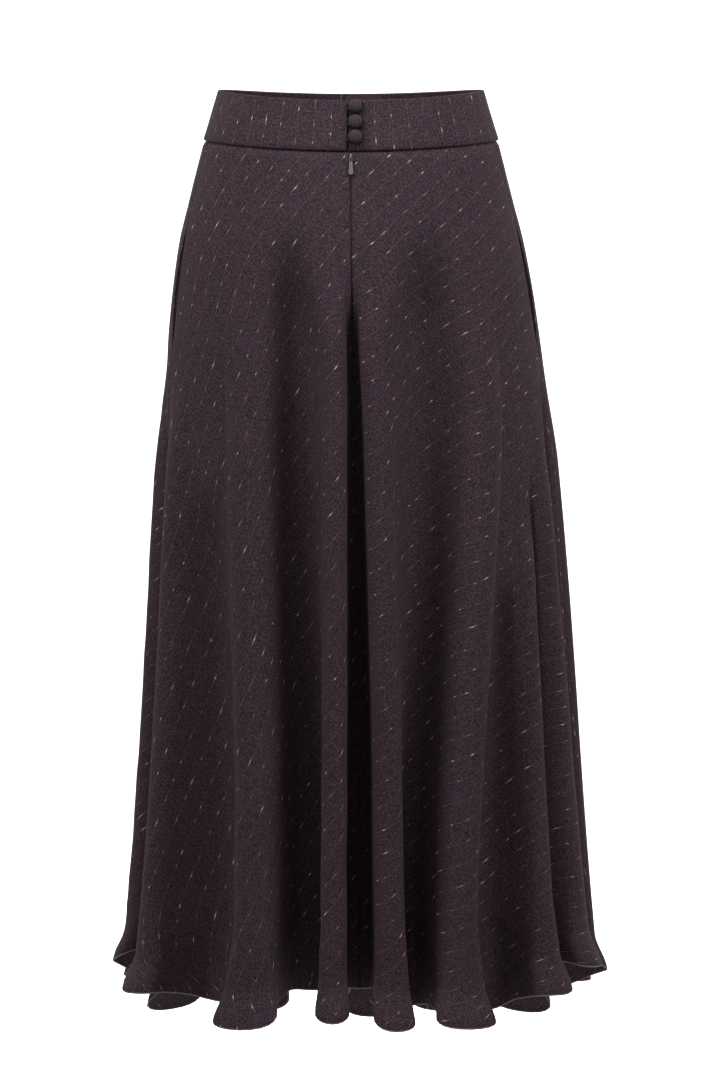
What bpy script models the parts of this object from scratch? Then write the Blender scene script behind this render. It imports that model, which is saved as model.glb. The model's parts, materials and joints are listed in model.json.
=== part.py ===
"""A flared midi skirt, worn and empty: it keeps the open form its wearer gives it.

Metres, +Z up. The front, with its zip and buttons, faces -Y, and the wearer's
left is +X. The origin is the middle of the waistband, at half its height.

The skirt's wall is one surface, wall_point(turn, down). down is the distance
below the waist seam. turn counts folds and valleys round the skirt: an even
whole number is the middle of a valley, the odd one after it the nose of a
fold, and turn 0 is the centre front seam.
"""

import math
from typing import NamedTuple

import bmesh
import bpy
from mathutils import Matrix, Vector

# Waistband: half widths run along X and half depths along Y.
BAND_HEIGHT = 0.0455
BAND_THICKNESS = 0.0024
BAND_TOP_HALF_WIDTH = 0.1233
BAND_TOP_HALF_DEPTH = 0.0940
BAND_FOOT_HALF_WIDTH = 0.1370
BAND_FOOT_HALF_DEPTH = 0.1035
BAND_FRONT_DIP = 0.0095
BAND_SIDE_LIFT = 0.0033
BAND_ENDS_X = -0.0026
BAND_ENDS_GAP = 0.0020
BAND_COLUMNS = 72
BAND_ROWS = 3

# Cloth of the panels, and the narrow gap that every seam keeps.
CLOTH_THICKNESS = 0.0016
SEAM_GAP = 0.0003
SKIRT_LENGTH = 0.800

# How folds and valleys deepen towards the hem, and where a nose has its own width.
FOLD_GROWTH = 0.85
FOLD_ONSET = 0.18
VALLEY_GROWTH = 0.44
VALLEY_ONSET = 0.14
NOSE_SETTLED = 0.25

# Rows of the panels, as shares of the skirt's length.
PANEL_ROWS = (0.0, 0.022, 0.06, 0.115, 0.18, 0.255, 0.345, 0.45, 0.56, 0.67, 0.78, 0.88, 0.955, 1.0)
NOSE_SEGMENTS = 8
VALLEY_SEGMENTS = 6

# Shape of a full fold: its walls lean over once it is deep for its width, and more near
# the hem, its nose is blunt, and its hem opens like a bell with a rounded foot.
LEAN_FROM = 0.35
LEAN_RANGE = 1.0
FOLD_OVERHANG = 0.35
HEM_OVERHANG = 0.9
HEM_OVERHANG_FROM = 0.450
HEM_CRISPNESS_FROM = 0.700
NOSE_BLUNTNESS = 0.16
BELL_HEIGHT = 0.034
BELL_SPREAD = 0.66
BELL_LIFT = 0.0090
HEM_FALL = 1.5
HEM_ROUND = 0.0060

# Slit of a side pocket, as distances below the waist seam, and its bag.
POCKET_TOP = 0.080
POCKET_FOOT = 0.205
POCKET_GAPE = 0.0026
BAG_THICKNESS = 0.0024
BAG_CLEARANCE = 0.0045
BAG_COLUMNS = 8

# Zip: the seam opens round the slider's bridge, and the tab hangs from it.
ZIP_MOUTH_HALF_GAP = 0.0013
ZIP_MOUTH_FOOT = 0.0115
ZIP_MOUTH_TAPER = 0.0080
ZIP_HINGE_DOWN = 0.0069
ZIP_HINGE_STANDOFF = 0.0014
ZIP_LEVEL_SPAN = 0.012
SLIDER_WIDTH = 0.0070
SLIDER_HEIGHT = 0.0090
SLIDER_THICKNESS = 0.0026
SLIDER_ROUNDING = 0.0007
BRIDGE_RADIUS = 0.0024
BRIDGE_WIRE = 0.00055
BRIDGE_POINTS = 10
TAB_THICKNESS = 0.0010
TAB_TOP = 0.0006
TAB_LENGTH = 0.0170
TAB_NECK_HALF_WIDTH = 0.0021
TAB_FOOT_HALF_WIDTH = 0.0022
TAB_HOLE_HALF_WIDTH = 0.0013
TAB_HOLE_TOP = -0.0005
TAB_HOLE_FOOT = -0.0042
TAB_CORNER = 0.0005
TAB_WAIST_SHARE = 0.72
TAB_WAIST_BELOW_HOLE = 0.0026
TAB_ROUND_POINTS = 10

# Covered buttons on the band's end, with the loops that hold them.
BUTTON_X = 0.0040
BUTTON_HEIGHTS = (0.0043, -0.0102, -0.0243)
BUTTON_RADIUS = 0.0065
BUTTON_HEIGHT = 0.0062
BUTTON_RIM_HEIGHT = 0.0026
BUTTON_RIM_ROLL = 0.0008
BUTTON_RIM_SHARE = 0.94
BUTTON_UNDERCUT = 0.0002
BUTTON_SHANK_RADIUS = 0.0024
BUTTON_STEPS = 20
BUTTON_ARC_POINTS = 6
LOOP_CORD_RADIUS = 0.0008
LOOP_STANDOFF = 0.0013
LOOP_HALF_HEIGHT = 0.0046
LOOP_ARC_X = 0.0078
LOOP_ARC_POINTS = 8
LOOP_ROOT_SHARE = 0.45
LOOP_ROOT_STANDOFF = 0.0002
LOOP_RISE_SHARE = 0.6
LOOP_RISE_LENGTH = 0.0011

# Bare label inside the back of the waistband, a little over its rim.
LABEL_WIDTH = 0.034
LABEL_HEIGHT = 0.018
LABEL_THICKNESS = 0.0008
LABEL_X = 0.012
LABEL_OVER_RIM = 0.0008
LABEL_COLUMNS = 6


class Level(NamedTuple):
    """The ring that runs half way between folds and valleys, at one distance down."""

    down: float
    half_width: float
    half_depth: float
    centre_x: float


BODY = (
    Level(0.000, 0.1363, 0.1030, 0.0000),
    Level(0.025, 0.1425, 0.1075, 0.0000),
    Level(0.060, 0.1510, 0.1140, 0.0000),
    Level(0.100, 0.1605, 0.1200, 0.0005),
    Level(0.160, 0.1695, 0.1265, 0.0020),
    Level(0.250, 0.1778, 0.1335, 0.0045),
    Level(0.350, 0.1822, 0.1395, 0.0060),
    Level(0.500, 0.1848, 0.1455, 0.0080),
    Level(0.650, 0.1880, 0.1510, 0.0085),
    Level(0.800, 0.1940, 0.1580, 0.0088),
)


class Fold(NamedTuple):
    """One fold, with the valley before it.

    Azimuths are in degrees from the front, towards the wearer's left. The valley's
    depth is a share of its folds' own. Its crispness says how sharply it is cut in,
    and its hem is hem_rise higher than the hem of the folds beside it. The fold's own
    hem is hem_tilt higher on its further side, and lower on the nearer.
    """

    name: str
    top_azimuth: float
    hem_azimuth: float
    half_width: float
    depth: float
    start: float
    lean: float
    hem_z: float
    valley_start: float
    valley: float
    crispness: float
    hem_rise: float
    hem_tilt: float


FOLDS = (
    Fold("front_left_1", 6.0, 7.7, 0.0129, 0.031, 0.060, 0.002, -0.839, 0.105, 1.50, 0.90, 0.030, 0.0),
    Fold("front_left_2", 47.0, 26.3, 0.0195, 0.031, 0.110, 0.000, -0.838, 0.060, 1.50, 0.50, 0.017, 0.0),
    Fold("front_left_3", 60.0, 54.0, 0.0160, 0.028, 0.320, 0.001, -0.811, 0.380, 0.90, 0.20, -0.002, 0.0),
    Fold("front_left_4", 68.0, 74.0, 0.0180, 0.027, 0.250, 0.000, -0.789, 0.300, 0.45, 0.40, 0.010, 0.0),
    Fold("side_left", 87.0, 93.5, 0.0200, 0.028, 0.200, 0.000, -0.797, 0.200, 0.60, 0.60, -0.002, -0.008),
    Fold("back_left_1", 112.0, 113.5, 0.0210, 0.028, 0.200, 0.003, -0.812, 0.200, 0.75, 0.60, -0.013, -0.006),
    Fold("back_left_2", 137.0, 136.0, 0.0230, 0.031, 0.150, -0.003, -0.846, 0.160, 0.90, 0.60, 0.028, 0.0),
    Fold("back_left_3", 161.0, 159.0, 0.0210, 0.031, 0.170, 0.000, -0.848, 0.150, 1.00, 0.50, 0.030, 0.0),
    Fold("back_right_4", 179.0, 177.5, 0.0180, 0.028, 0.140, 0.000, -0.854, 0.130, 1.10, 0.70, 0.030, 0.0),
    Fold("back_right_3", 206.0, 207.5, 0.0230, 0.030, 0.180, 0.000, -0.849, 0.140, 0.90, 0.50, 0.034, 0.0),
    Fold("back_right_2", 233.0, 235.0, 0.0225, 0.031, 0.150, -0.002, -0.842, 0.160, 0.90, 0.60, 0.028, 0.0),
    Fold("back_right_1", 253.0, 252.5, 0.0170, 0.027, 0.220, 0.000, -0.806, 0.200, 0.75, 0.60, 0.018, 0.006),
    Fold("side_right", 276.0, 271.0, 0.0175, 0.028, 0.200, 0.000, -0.787, 0.220, 0.60, 0.60, -0.016, 0.008),
    Fold("front_right_3", 292.0, 291.5, 0.0180, 0.029, 0.200, 0.000, -0.812, 0.260, 0.50, 0.50, 0.012, 0.0),
    Fold("front_right_2", 323.5, 331.0, 0.0215, 0.031, 0.100, 0.000, -0.839, 0.300, 1.35, 0.15, 0.004, 0.0),
    Fold("front_right_1", 354.0, 352.4, 0.0106, 0.031, 0.050, 0.004, -0.832, 0.060, 1.60, 0.75, 0.028, 0.0),
)

# Turns of the seams: each lies in the valley in front of the fold with this number.
LEFT_SEAM_TURN = 2 * 4
RIGHT_SEAM_TURN = 2 * 13
WHOLE_TURN = 2 * len(FOLDS)


class BagLevel(NamedTuple):
    """One row of a pocket's bag: how far it reaches forward from the side seam."""

    down: float
    reach: float


BAG = (
    BagLevel(0.062, 0.070),
    BagLevel(0.085, 0.112),
    BagLevel(0.130, 0.128),
    BagLevel(0.180, 0.132),
    BagLevel(0.225, 0.128),
    BagLevel(0.255, 0.105),
    BagLevel(0.270, 0.070),
)

# Colour, roughness and metallic value of each material.
FINISHES = {
    "suiting": ((0.040, 0.028, 0.035), 0.90, 0.0),
    "pocketing": ((0.030, 0.025, 0.029), 0.90, 0.0),
    "button_cover": ((0.046, 0.033, 0.040), 0.85, 0.0),
    "loop_cord": ((0.020, 0.016, 0.020), 0.80, 0.0),
    "label": ((0.085, 0.040, 0.038), 0.80, 0.0),
    "zip_metal": ((0.240, 0.215, 0.235), 0.35, 0.6),
}


def mix(start, end, share):
    """The value this share of the way from start to end."""
    return start + (end - start) * share


def smooth(value):
    """Zero below 0, one above 1, and an even S between."""
    value = min(max(value, 0.0), 1.0)
    return value * value * (3.0 - 2.0 * value)


def slope_at(table, index, column):
    """Slope of a table's column through the rows beside this one."""
    before = table[max(index - 1, 0)]
    after = table[min(index + 1, len(table) - 1)]
    return (getattr(after, column) - getattr(before, column)) / (after.down - before.down)


def read(table, column, down):
    """A table's column at this distance down, along a smooth curve through its rows."""
    index = 0
    while index < len(table) - 2 and down > table[index + 1].down:
        index += 1
    low, high = table[index], table[index + 1]
    span = high.down - low.down
    t = (down - low.down) / span
    start, end = getattr(low, column), getattr(high, column)
    start_slope = slope_at(table, index, column) * span
    end_slope = slope_at(table, index + 1, column) * span
    rise = smooth(t) if 0.0 <= t <= 1.0 else t
    bend = start_slope * t * (1.0 - t) ** 2 - end_slope * t * t * (1.0 - t)
    return mix(start, end, rise) + bend


def band_middle_z(azimuth):
    """Height of the waistband's middle: it dips in front and lifts at the sides."""
    return -BAND_FRONT_DIP * math.cos(azimuth) - BAND_SIDE_LIFT * math.cos(2.0 * azimuth)


def seam_z(azimuth):
    """Height of the skirt's upper edge, just below the waistband."""
    return band_middle_z(azimuth) - BAND_HEIGHT / 2.0 - SEAM_GAP


def fold_at(index):
    """The fold with this number, counted on round the skirt, and the turns made before it."""
    turns, place = divmod(index, len(FOLDS))
    return FOLDS[place], turns


def fold_azimuth(index, down):
    """Azimuth of a fold's middle in radians."""
    fold, turns = fold_at(index)
    degrees = mix(fold.top_azimuth, fold.hem_azimuth, smooth(down / SKIRT_LENGTH))
    return math.radians(degrees) + turns * math.tau


def fold_depth(index, down):
    """How far a fold's nose stands out from the middle ring."""
    fold, _ = fold_at(index)
    share = max(0.0, (down - fold.start) / (SKIRT_LENGTH - fold.start))
    return fold.depth * share**FOLD_GROWTH * smooth(share / FOLD_ONSET)


def valley_depth(index, down):
    """How far the valley before a fold lies inside the middle ring."""
    before, _ = fold_at(index - 1)
    fold, _ = fold_at(index)
    share = max(0.0, (down - fold.valley_start) / (SKIRT_LENGTH - fold.valley_start))
    grown = share**VALLEY_GROWTH * smooth(share / VALLEY_ONSET)
    return (before.depth + fold.depth) / 2.0 * fold.valley * grown


def bell(down):
    """How far the hem has opened: 0 above its last few centimetres, 1 at the edge."""
    share = (down - (SKIRT_LENGTH - BELL_HEIGHT)) / BELL_HEIGHT
    return smooth(share)


def ring_speed(azimuth, down):
    """Metres along the middle ring for each radian of azimuth."""
    return math.hypot(
        read(BODY, "half_width", down) * math.cos(azimuth),
        read(BODY, "half_depth", down) * math.sin(azimuth),
    )


def nose_edges(index, down):
    """Azimuths where a fold's nose starts and ends on the middle ring."""
    fold, _ = fold_at(index)
    middle = fold_azimuth(index, down)
    before = middle - fold_azimuth(index - 1, down)
    after = fold_azimuth(index + 1, down) - middle
    full = fold.half_width / ring_speed(middle, down)
    grown = min(1.0, fold_depth(index, down) / (NOSE_SETTLED * fold.depth))
    return (
        middle - mix(before / 4.0, full, grown),
        middle + mix(after / 4.0, full, grown),
    )


def ring_point(azimuth, outward, down, z):
    """A point this far outside the middle ring."""
    half_width = read(BODY, "half_width", down)
    half_depth = read(BODY, "half_depth", down)
    normal = Vector((half_depth * math.sin(azimuth), -half_width * math.cos(azimuth), 0.0)).normalized()
    x = read(BODY, "centre_x", down) + half_width * math.sin(azimuth)
    return Vector((x, -half_depth * math.cos(azimuth), z)) + outward * normal


def hem_z(turn):
    """Height of the hem at each fold's nose and in the valley beside it."""
    valley = math.floor(turn / 2.0 + 0.5)
    before, _ = fold_at(valley - 1)
    after, _ = fold_at(valley)
    nearest = before if turn < 2 * valley else after
    valley_z = (before.hem_z + after.hem_z) / 2.0 + after.hem_rise
    away = abs(turn - 2 * valley)
    beside = math.sin(math.pi * away)
    tilt = nearest.hem_tilt if turn < 2 * valley else -nearest.hem_tilt
    return mix(valley_z, nearest.hem_z, smooth(away) ** HEM_FALL) + HEM_ROUND * beside**2 + tilt * beside


def wall_point(turn, down):
    """The middle of the cloth at this turn round the skirt and distance down it."""
    lobe = math.floor(turn + 0.5)
    phase = (turn - lobe) * math.pi
    is_nose = lobe % 2 == 1
    if is_nose:
        index = (lobe - 1) // 2
        fold, _ = fold_at(index)
        start, end = nose_edges(index, down)
        depth = fold_depth(index, down)
        lean = fold.lean * depth / fold.depth
        next_fold, _ = fold_at(index + 1)
        crispness = mix(fold.crispness, next_fold.crispness, (math.sin(phase) + 1.0) / 2.0)
    else:
        index = lobe // 2
        start, end = nose_edges(index - 1, down)[1], nose_edges(index, down)[0]
        depth = valley_depth(index, down)
        lean = 0.0
        crispness = fold_at(index)[0].crispness
    middle = (start + end) / 2.0
    speed = ring_speed(middle, down)
    half = (end - start) / 2.0
    steep = smooth((depth / (half * speed) - LEAN_FROM) / LEAN_RANGE)
    near_hem = smooth((down - HEM_CRISPNESS_FROM) / (SKIRT_LENGTH - HEM_CRISPNESS_FROM))
    low = smooth((down - HEM_OVERHANG_FROM) / (SKIRT_LENGTH - HEM_OVERHANG_FROM))
    opened = bell(down) if is_nose else 0.0
    overhang = mix(FOLD_OVERHANG, HEM_OVERHANG, low) + opened * BELL_SPREAD
    curled = math.sin(phase) * (1.0 + overhang * math.cos(phase) ** 2)
    curl = steep * mix(crispness, 1.0, near_hem)
    azimuth = middle + half * mix(phase * 2.0 / math.pi, curled, curl)
    rise = max(0.0, math.cos(phase)) ** (1.0 - NOSE_BLUNTNESS * steep)
    azimuth += lean / speed * rise
    outward = (depth + opened * BELL_LIFT) * rise * (1.0 if is_nose else -1.0)
    z = mix(seam_z(azimuth), hem_z(turn), down / SKIRT_LENGTH)
    return ring_point(azimuth, outward, down, z)


def wall_normal(turn, down):
    """The wall's outward normal."""
    turn_step, down_step = 0.02, 0.002
    down = min(max(down, down_step), SKIRT_LENGTH - down_step)
    along = wall_point(turn + turn_step, down) - wall_point(turn - turn_step, down)
    below = wall_point(turn, down + down_step) - wall_point(turn, down - down_step)
    return below.cross(along).normalized()


def material_of(name):
    """The named material, made on first use."""
    found = bpy.data.materials.get(name)
    if found:
        return found
    colour, roughness, metallic = FINISHES[name]
    made = bpy.data.materials.new(name)
    made.use_nodes = True
    shader = made.node_tree.nodes["Principled BSDF"]
    shader.inputs["Base Color"].default_value = (*colour, 1.0)
    shader.inputs["Roughness"].default_value = roughness
    shader.inputs["Metallic"].default_value = metallic
    made.diffuse_color = (*colour, 1.0)
    return made


def add_object(name, data, finish, collection):
    """An object of this mesh or curve, with its material, in the collection."""
    made = bpy.data.objects.new(name, data)
    data.materials.append(material_of(finish))
    collection.objects.link(made)
    return made


def mesh_of(name, shape):
    """A mesh from a bmesh, with its faces turned outwards."""
    bmesh.ops.recalc_face_normals(shape, faces=shape.faces)
    mesh = bpy.data.meshes.new(name)
    shape.to_mesh(mesh)
    shape.free()
    mesh.shade_smooth()
    mesh.set_sharp_from_angle(angle=math.radians(40.0))
    return mesh


def add_faces_between(shape, first, second):
    """Faces that join two rows of vertices."""
    for index in range(len(first) - 1):
        shape.faces.new((first[index], first[index + 1], second[index + 1], second[index]))


def wall_mesh(name, middles, normals, thickness):
    """A wall of even thickness on a grid of its middle points, closed along its four edges."""
    shape = bmesh.new()
    outer, inner = [], []
    for points, directions in zip(middles, normals):
        pairs = list(zip(points, directions))
        outer.append([shape.verts.new(p + d * thickness / 2.0) for p, d in pairs])
        inner.append([shape.verts.new(p - d * thickness / 2.0) for p, d in pairs])
    for row in range(len(middles) - 1):
        add_faces_between(shape, outer[row], outer[row + 1])
        add_faces_between(shape, inner[row + 1], inner[row])
    add_faces_between(shape, inner[0], outer[0])
    add_faces_between(shape, outer[-1], inner[-1])
    for side in (0, -1):
        add_faces_between(shape, [row[side] for row in outer], [row[side] for row in inner])
    return mesh_of(name, shape)


def panel_turns(start, end):
    """Turns of a panel's columns, from one valley's middle to another's."""
    turns = []
    for lobe in range(start, end + 1):
        segments = NOSE_SEGMENTS if lobe % 2 else VALLEY_SEGMENTS
        turns += [lobe - 0.5 + step / segments for step in range(segments)]
    return [turn for turn in turns if start <= turn <= end]


def half_gap(seam, down):
    """Half the gap at a seam: wider round the zip's bridge and along a pocket's slit."""
    if seam in (LEFT_SEAM_TURN, RIGHT_SEAM_TURN):
        share = (down - POCKET_TOP) / (POCKET_FOOT - POCKET_TOP)
        inside = 0.0 < share < 1.0
        return SEAM_GAP / 2.0 + (POCKET_GAPE / 2.0 * math.sin(math.pi * share) if inside else 0.0)
    open_share = 1.0 - smooth((down - ZIP_MOUTH_FOOT) / ZIP_MOUTH_TAPER)
    return mix(SEAM_GAP / 2.0, ZIP_MOUTH_HALF_GAP, open_share)


def panel_downs():
    """Distances down of a panel's rows, with a few more where a slit or the zip's mouth starts."""
    shares = set(round(share * SKIRT_LENGTH, 4) for share in PANEL_ROWS)
    return sorted(shares | {ZIP_MOUTH_FOOT})


def add_panel(name, start, end, collection):
    """One panel of the skirt, between two seams."""
    turns = panel_turns(start, end)
    middles, normals = [], []
    for down in panel_downs():
        points = [wall_point(turn, down) for turn in turns]
        for side, seam, neighbour in ((0, start, 1), (-1, end, -2)):
            towards = (points[neighbour] - points[side]).normalized()
            points[side] = points[side] + towards * half_gap(seam % WHOLE_TURN, down)
        middles.append(points)
        normals.append([wall_normal(turn, down) for turn in turns])
    add_object(name, wall_mesh(name, middles, normals, CLOTH_THICKNESS), "suiting", collection)


def band_point(azimuth, height_share):
    """The middle of the waistband's wall, from its foot (0) to its rim (1)."""
    half_width = mix(BAND_FOOT_HALF_WIDTH, BAND_TOP_HALF_WIDTH, height_share)
    half_depth = mix(BAND_FOOT_HALF_DEPTH, BAND_TOP_HALF_DEPTH, height_share)
    z = band_middle_z(azimuth) + BAND_HEIGHT * (height_share - 0.5)
    return Vector((half_width * math.sin(azimuth), -half_depth * math.cos(azimuth), z))


def band_normal(azimuth, height_share):
    """The waistband's outward normal."""
    step = 0.01
    along = band_point(azimuth + step, height_share) - band_point(azimuth - step, height_share)
    up = band_point(azimuth, height_share + step) - band_point(azimuth, height_share - step)
    return along.cross(up).normalized()


def add_band(collection):
    """The waistband, one strip from its looped end round the back to its buttoned end."""
    start = math.asin((BAND_ENDS_X + BAND_ENDS_GAP / 2.0) / BAND_TOP_HALF_WIDTH)
    end = math.asin((BAND_ENDS_X - BAND_ENDS_GAP / 2.0) / BAND_TOP_HALF_WIDTH) + math.tau
    azimuths = [mix(start, end, column / BAND_COLUMNS) for column in range(BAND_COLUMNS + 1)]
    shares = [1.0 - row / (BAND_ROWS - 1) for row in range(BAND_ROWS)]
    middles = [[band_point(azimuth, share) for azimuth in azimuths] for share in shares]
    normals = [[band_normal(azimuth, share) for azimuth in azimuths] for share in shares]
    mesh = wall_mesh("waistband", middles, normals, BAND_THICKNESS)
    add_object("waistband", mesh, "suiting", collection)


def add_label(collection):
    """A bare label against the inside of the back of the waistband."""
    inward = (BAND_THICKNESS + LABEL_THICKNESS) / 2.0 + SEAM_GAP
    rim_share = 1.0 + LABEL_OVER_RIM / BAND_HEIGHT
    foot_share = rim_share - LABEL_HEIGHT / BAND_HEIGHT
    half_turn = LABEL_WIDTH / 2.0 / BAND_TOP_HALF_WIDTH
    middle = math.pi - math.asin(LABEL_X / BAND_TOP_HALF_WIDTH)
    middles, normals = [], []
    for share in (rim_share, foot_share):
        azimuths = [
            mix(middle - half_turn, middle + half_turn, column / LABEL_COLUMNS)
            for column in range(LABEL_COLUMNS + 1)
        ]
        directions = [band_normal(azimuth, share) for azimuth in azimuths]
        pairs = zip(azimuths, directions)
        middles.append([band_point(azimuth, share) - inward * normal for azimuth, normal in pairs])
        normals.append(directions)
    mesh = wall_mesh("label", middles, normals, LABEL_THICKNESS)
    add_object("label", mesh, "label", collection)


def add_pocket_bag(name, seam, side, collection):
    """A pocket's flat bag: it hangs behind its slit, inside every fold, and reaches forward."""
    middles, normals = [], []
    for level in BAG:
        down = level.down
        at_slit = valley_depth(seam // 2, down)
        in_front = max(valley_depth(index, down) for index in range(len(FOLDS)))
        start, end = nose_edges(seam // 2 - 1, down)[1], nose_edges(seam // 2, down)[0]
        at_seam = (start + end) / 2.0
        reach = level.reach / ring_speed(at_seam, down)
        points, directions = [], []
        for column in range(BAG_COLUMNS + 1):
            share = column / BAG_COLUMNS
            azimuth = at_seam - side * reach * share
            inward = BAG_CLEARANCE + mix(at_slit, in_front, share)
            z = mix(seam_z(azimuth), hem_z(seam), down / SKIRT_LENGTH)
            outside = ring_point(azimuth, 0.0, down, z)
            inside = ring_point(azimuth, -inward, down, z)
            points.append(inside)
            directions.append((outside - inside).normalized())
        middles.append(points)
        normals.append(directions)
    mesh = wall_mesh(name, middles, normals, BAG_THICKNESS)
    add_object(name, mesh, "pocketing", collection)


def frame_on(origin, upward, outward):
    """A placing matrix: X stays, local Y points up along a surface and local Z out of it."""
    across = upward.cross(outward)
    rotation = Matrix((across, upward, outward)).transposed().to_4x4()
    return Matrix.Translation(origin) @ rotation


def band_frame(x, z):
    """The place on the front of the waistband's outer face at this x and height."""
    share = (z - band_middle_z(0.0)) / BAND_HEIGHT + 0.5
    normal = band_normal(0.0, share)
    upward = normal.cross(Vector((1.0, 0.0, 0.0))).normalized()
    point = band_point(0.0, share) + normal * BAND_THICKNESS / 2.0
    return frame_on(Vector((x, point.y, point.z)), upward, normal)


def button_profile():
    """Half of a covered button's outline, from its crown over the rim to its shank's foot."""
    points = []
    dome = BUTTON_HEIGHT - BUTTON_RIM_HEIGHT - BUTTON_RIM_ROLL
    for step in range(BUTTON_ARC_POINTS + 1):
        angle = math.pi / 2.0 * step / BUTTON_ARC_POINTS
        points.append((BUTTON_RADIUS * math.sin(angle), BUTTON_HEIGHT - dome * (1.0 - math.cos(angle))))
    points.append((BUTTON_RADIUS * BUTTON_RIM_SHARE, BUTTON_RIM_HEIGHT))
    points.append((BUTTON_SHANK_RADIUS, BUTTON_RIM_HEIGHT - BUTTON_UNDERCUT))
    points.append((BUTTON_SHANK_RADIUS, SEAM_GAP))
    points.append((0.0, SEAM_GAP))
    return points


def add_button(name, x, z, collection):
    """A dome button covered with the cloth, on a short shank."""
    shape = bmesh.new()
    verts = [shape.verts.new((radius, 0.0, height)) for radius, height in button_profile()]
    for first, second in zip(verts, verts[1:]):
        shape.edges.new((first, second))
    mesh = bpy.data.meshes.new(name)
    shape.to_mesh(mesh)
    shape.free()
    made = add_object(name, mesh, "button_cover", collection)
    turned = made.modifiers.new("Turned", "SCREW")
    turned.steps = BUTTON_STEPS
    turned.render_steps = BUTTON_STEPS
    turned.use_merge_vertices = True
    turned.merge_threshold = 0.00001
    turned.use_smooth_shade = True
    made.matrix_world = band_frame(x, z)


def loop_path():
    """Points of a button loop, from the band's end round the button and back."""
    end_x = BAND_ENDS_X - BAND_ENDS_GAP / 2.0 + SEAM_GAP
    points = [(end_x, LOOP_HALF_HEIGHT * LOOP_ROOT_SHARE, LOOP_ROOT_STANDOFF)]
    points.append((end_x + LOOP_RISE_LENGTH, LOOP_HALF_HEIGHT * LOOP_RISE_SHARE, LOOP_STANDOFF))
    for step in range(LOOP_ARC_POINTS + 1):
        angle = math.pi / 2.0 - math.pi * step / LOOP_ARC_POINTS
        x = LOOP_ARC_X + LOOP_HALF_HEIGHT * math.cos(angle)
        points.append((x, LOOP_HALF_HEIGHT * math.sin(angle), LOOP_STANDOFF))
    points += [(x, -y, z) for x, y, z in reversed(points[:2])]
    return points


def add_loop(name, z, collection):
    """A thin cord loop, sewn into the band's end, that holds a button."""
    curve = bpy.data.curves.new(name, "CURVE")
    curve.dimensions = "3D"
    curve.bevel_depth = LOOP_CORD_RADIUS
    curve.bevel_resolution = 1
    curve.use_fill_caps = True
    path = loop_path()
    spline = curve.splines.new("POLY")
    spline.points.add(len(path) - 1)
    for point, place in zip(spline.points, path):
        point.co = (*place, 1.0)
    made = add_object(name, curve, "loop_cord", collection)
    made.matrix_world = band_frame(0.0, z)


def zip_frame():
    """The zip tab's axis: local X lies along it, Y up the skirt and Z out of it."""
    below = wall_point(0.0, ZIP_HINGE_DOWN + ZIP_LEVEL_SPAN)
    above = wall_point(0.0, 0.0)
    upward = Vector((0.0, above.y - below.y, above.z - below.z)).normalized()
    outward = Vector((1.0, 0.0, 0.0)).cross(upward)
    surface = wall_point(0.0, ZIP_HINGE_DOWN) + outward * CLOTH_THICKNESS / 2.0
    origin = surface + outward * ZIP_HINGE_STANDOFF
    return frame_on(Vector((0.0, origin.y, origin.z)), upward, outward)


def box_mesh(name, size, centre, rounding):
    """A box with rounded edges."""
    shape = bmesh.new()
    bmesh.ops.create_cube(shape, size=1.0)
    bmesh.ops.scale(shape, vec=size, verts=shape.verts)
    bmesh.ops.translate(shape, vec=centre, verts=shape.verts)
    bmesh.ops.bevel(shape, geom=shape.edges, offset=rounding, segments=2, profile=0.5, affect="EDGES")
    return mesh_of(name, shape)


def bridge_mesh(name, foot_z):
    """The slider's bridge: a wire bent half round the tab's axis, with both feet in the slider."""
    curve = bpy.data.curves.new(name, "CURVE")
    curve.dimensions = "3D"
    curve.bevel_depth = BRIDGE_WIRE
    curve.bevel_resolution = 2
    curve.use_fill_caps = True
    path = [(0.0, BRIDGE_RADIUS, foot_z)]
    for step in range(BRIDGE_POINTS + 1):
        angle = math.pi * step / BRIDGE_POINTS
        path.append((0.0, BRIDGE_RADIUS * math.cos(angle), BRIDGE_RADIUS * math.sin(angle)))
    path.append((0.0, -BRIDGE_RADIUS, foot_z))
    spline = curve.splines.new("POLY")
    spline.points.add(len(path) - 1)
    for point, place in zip(spline.points, path):
        point.co = (*place, 1.0)
    guide = bpy.data.objects.new(name, curve)
    bpy.context.scene.collection.objects.link(guide)
    graph = bpy.context.evaluated_depsgraph_get()
    mesh = bpy.data.meshes.new_from_object(guide.evaluated_get(graph))
    bpy.data.objects.remove(guide)
    shape = bmesh.new()
    shape.from_mesh(mesh)
    bmesh.ops.remove_doubles(shape, verts=shape.verts, dist=0.000001)
    return mesh_of(name, shape)


def add_slider(collection, cutters):
    """The zip's slider inside the seam, with its bridge standing out between the panels."""
    body_top = -ZIP_HINGE_STANDOFF - CLOTH_THICKNESS - SEAM_GAP
    centre = (0.0, 0.0, body_top - SLIDER_THICKNESS / 2.0)
    size = (SLIDER_WIDTH, SLIDER_HEIGHT, SLIDER_THICKNESS)
    body = box_mesh("zip_slider", size, centre, SLIDER_ROUNDING)
    made = add_object("zip_slider", body, "zip_metal", collection)
    bridge = bpy.data.objects.new("zip_bridge", bridge_mesh("zip_bridge", centre[2]))
    bridge.hide_render = True
    bridge.display_type = "WIRE"
    cutters.objects.link(bridge)
    made.matrix_world = zip_frame()
    bridge.matrix_world = zip_frame()
    union = made.modifiers.new("Bridge", "BOOLEAN")
    union.operation = "UNION"
    union.object = bridge


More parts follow.
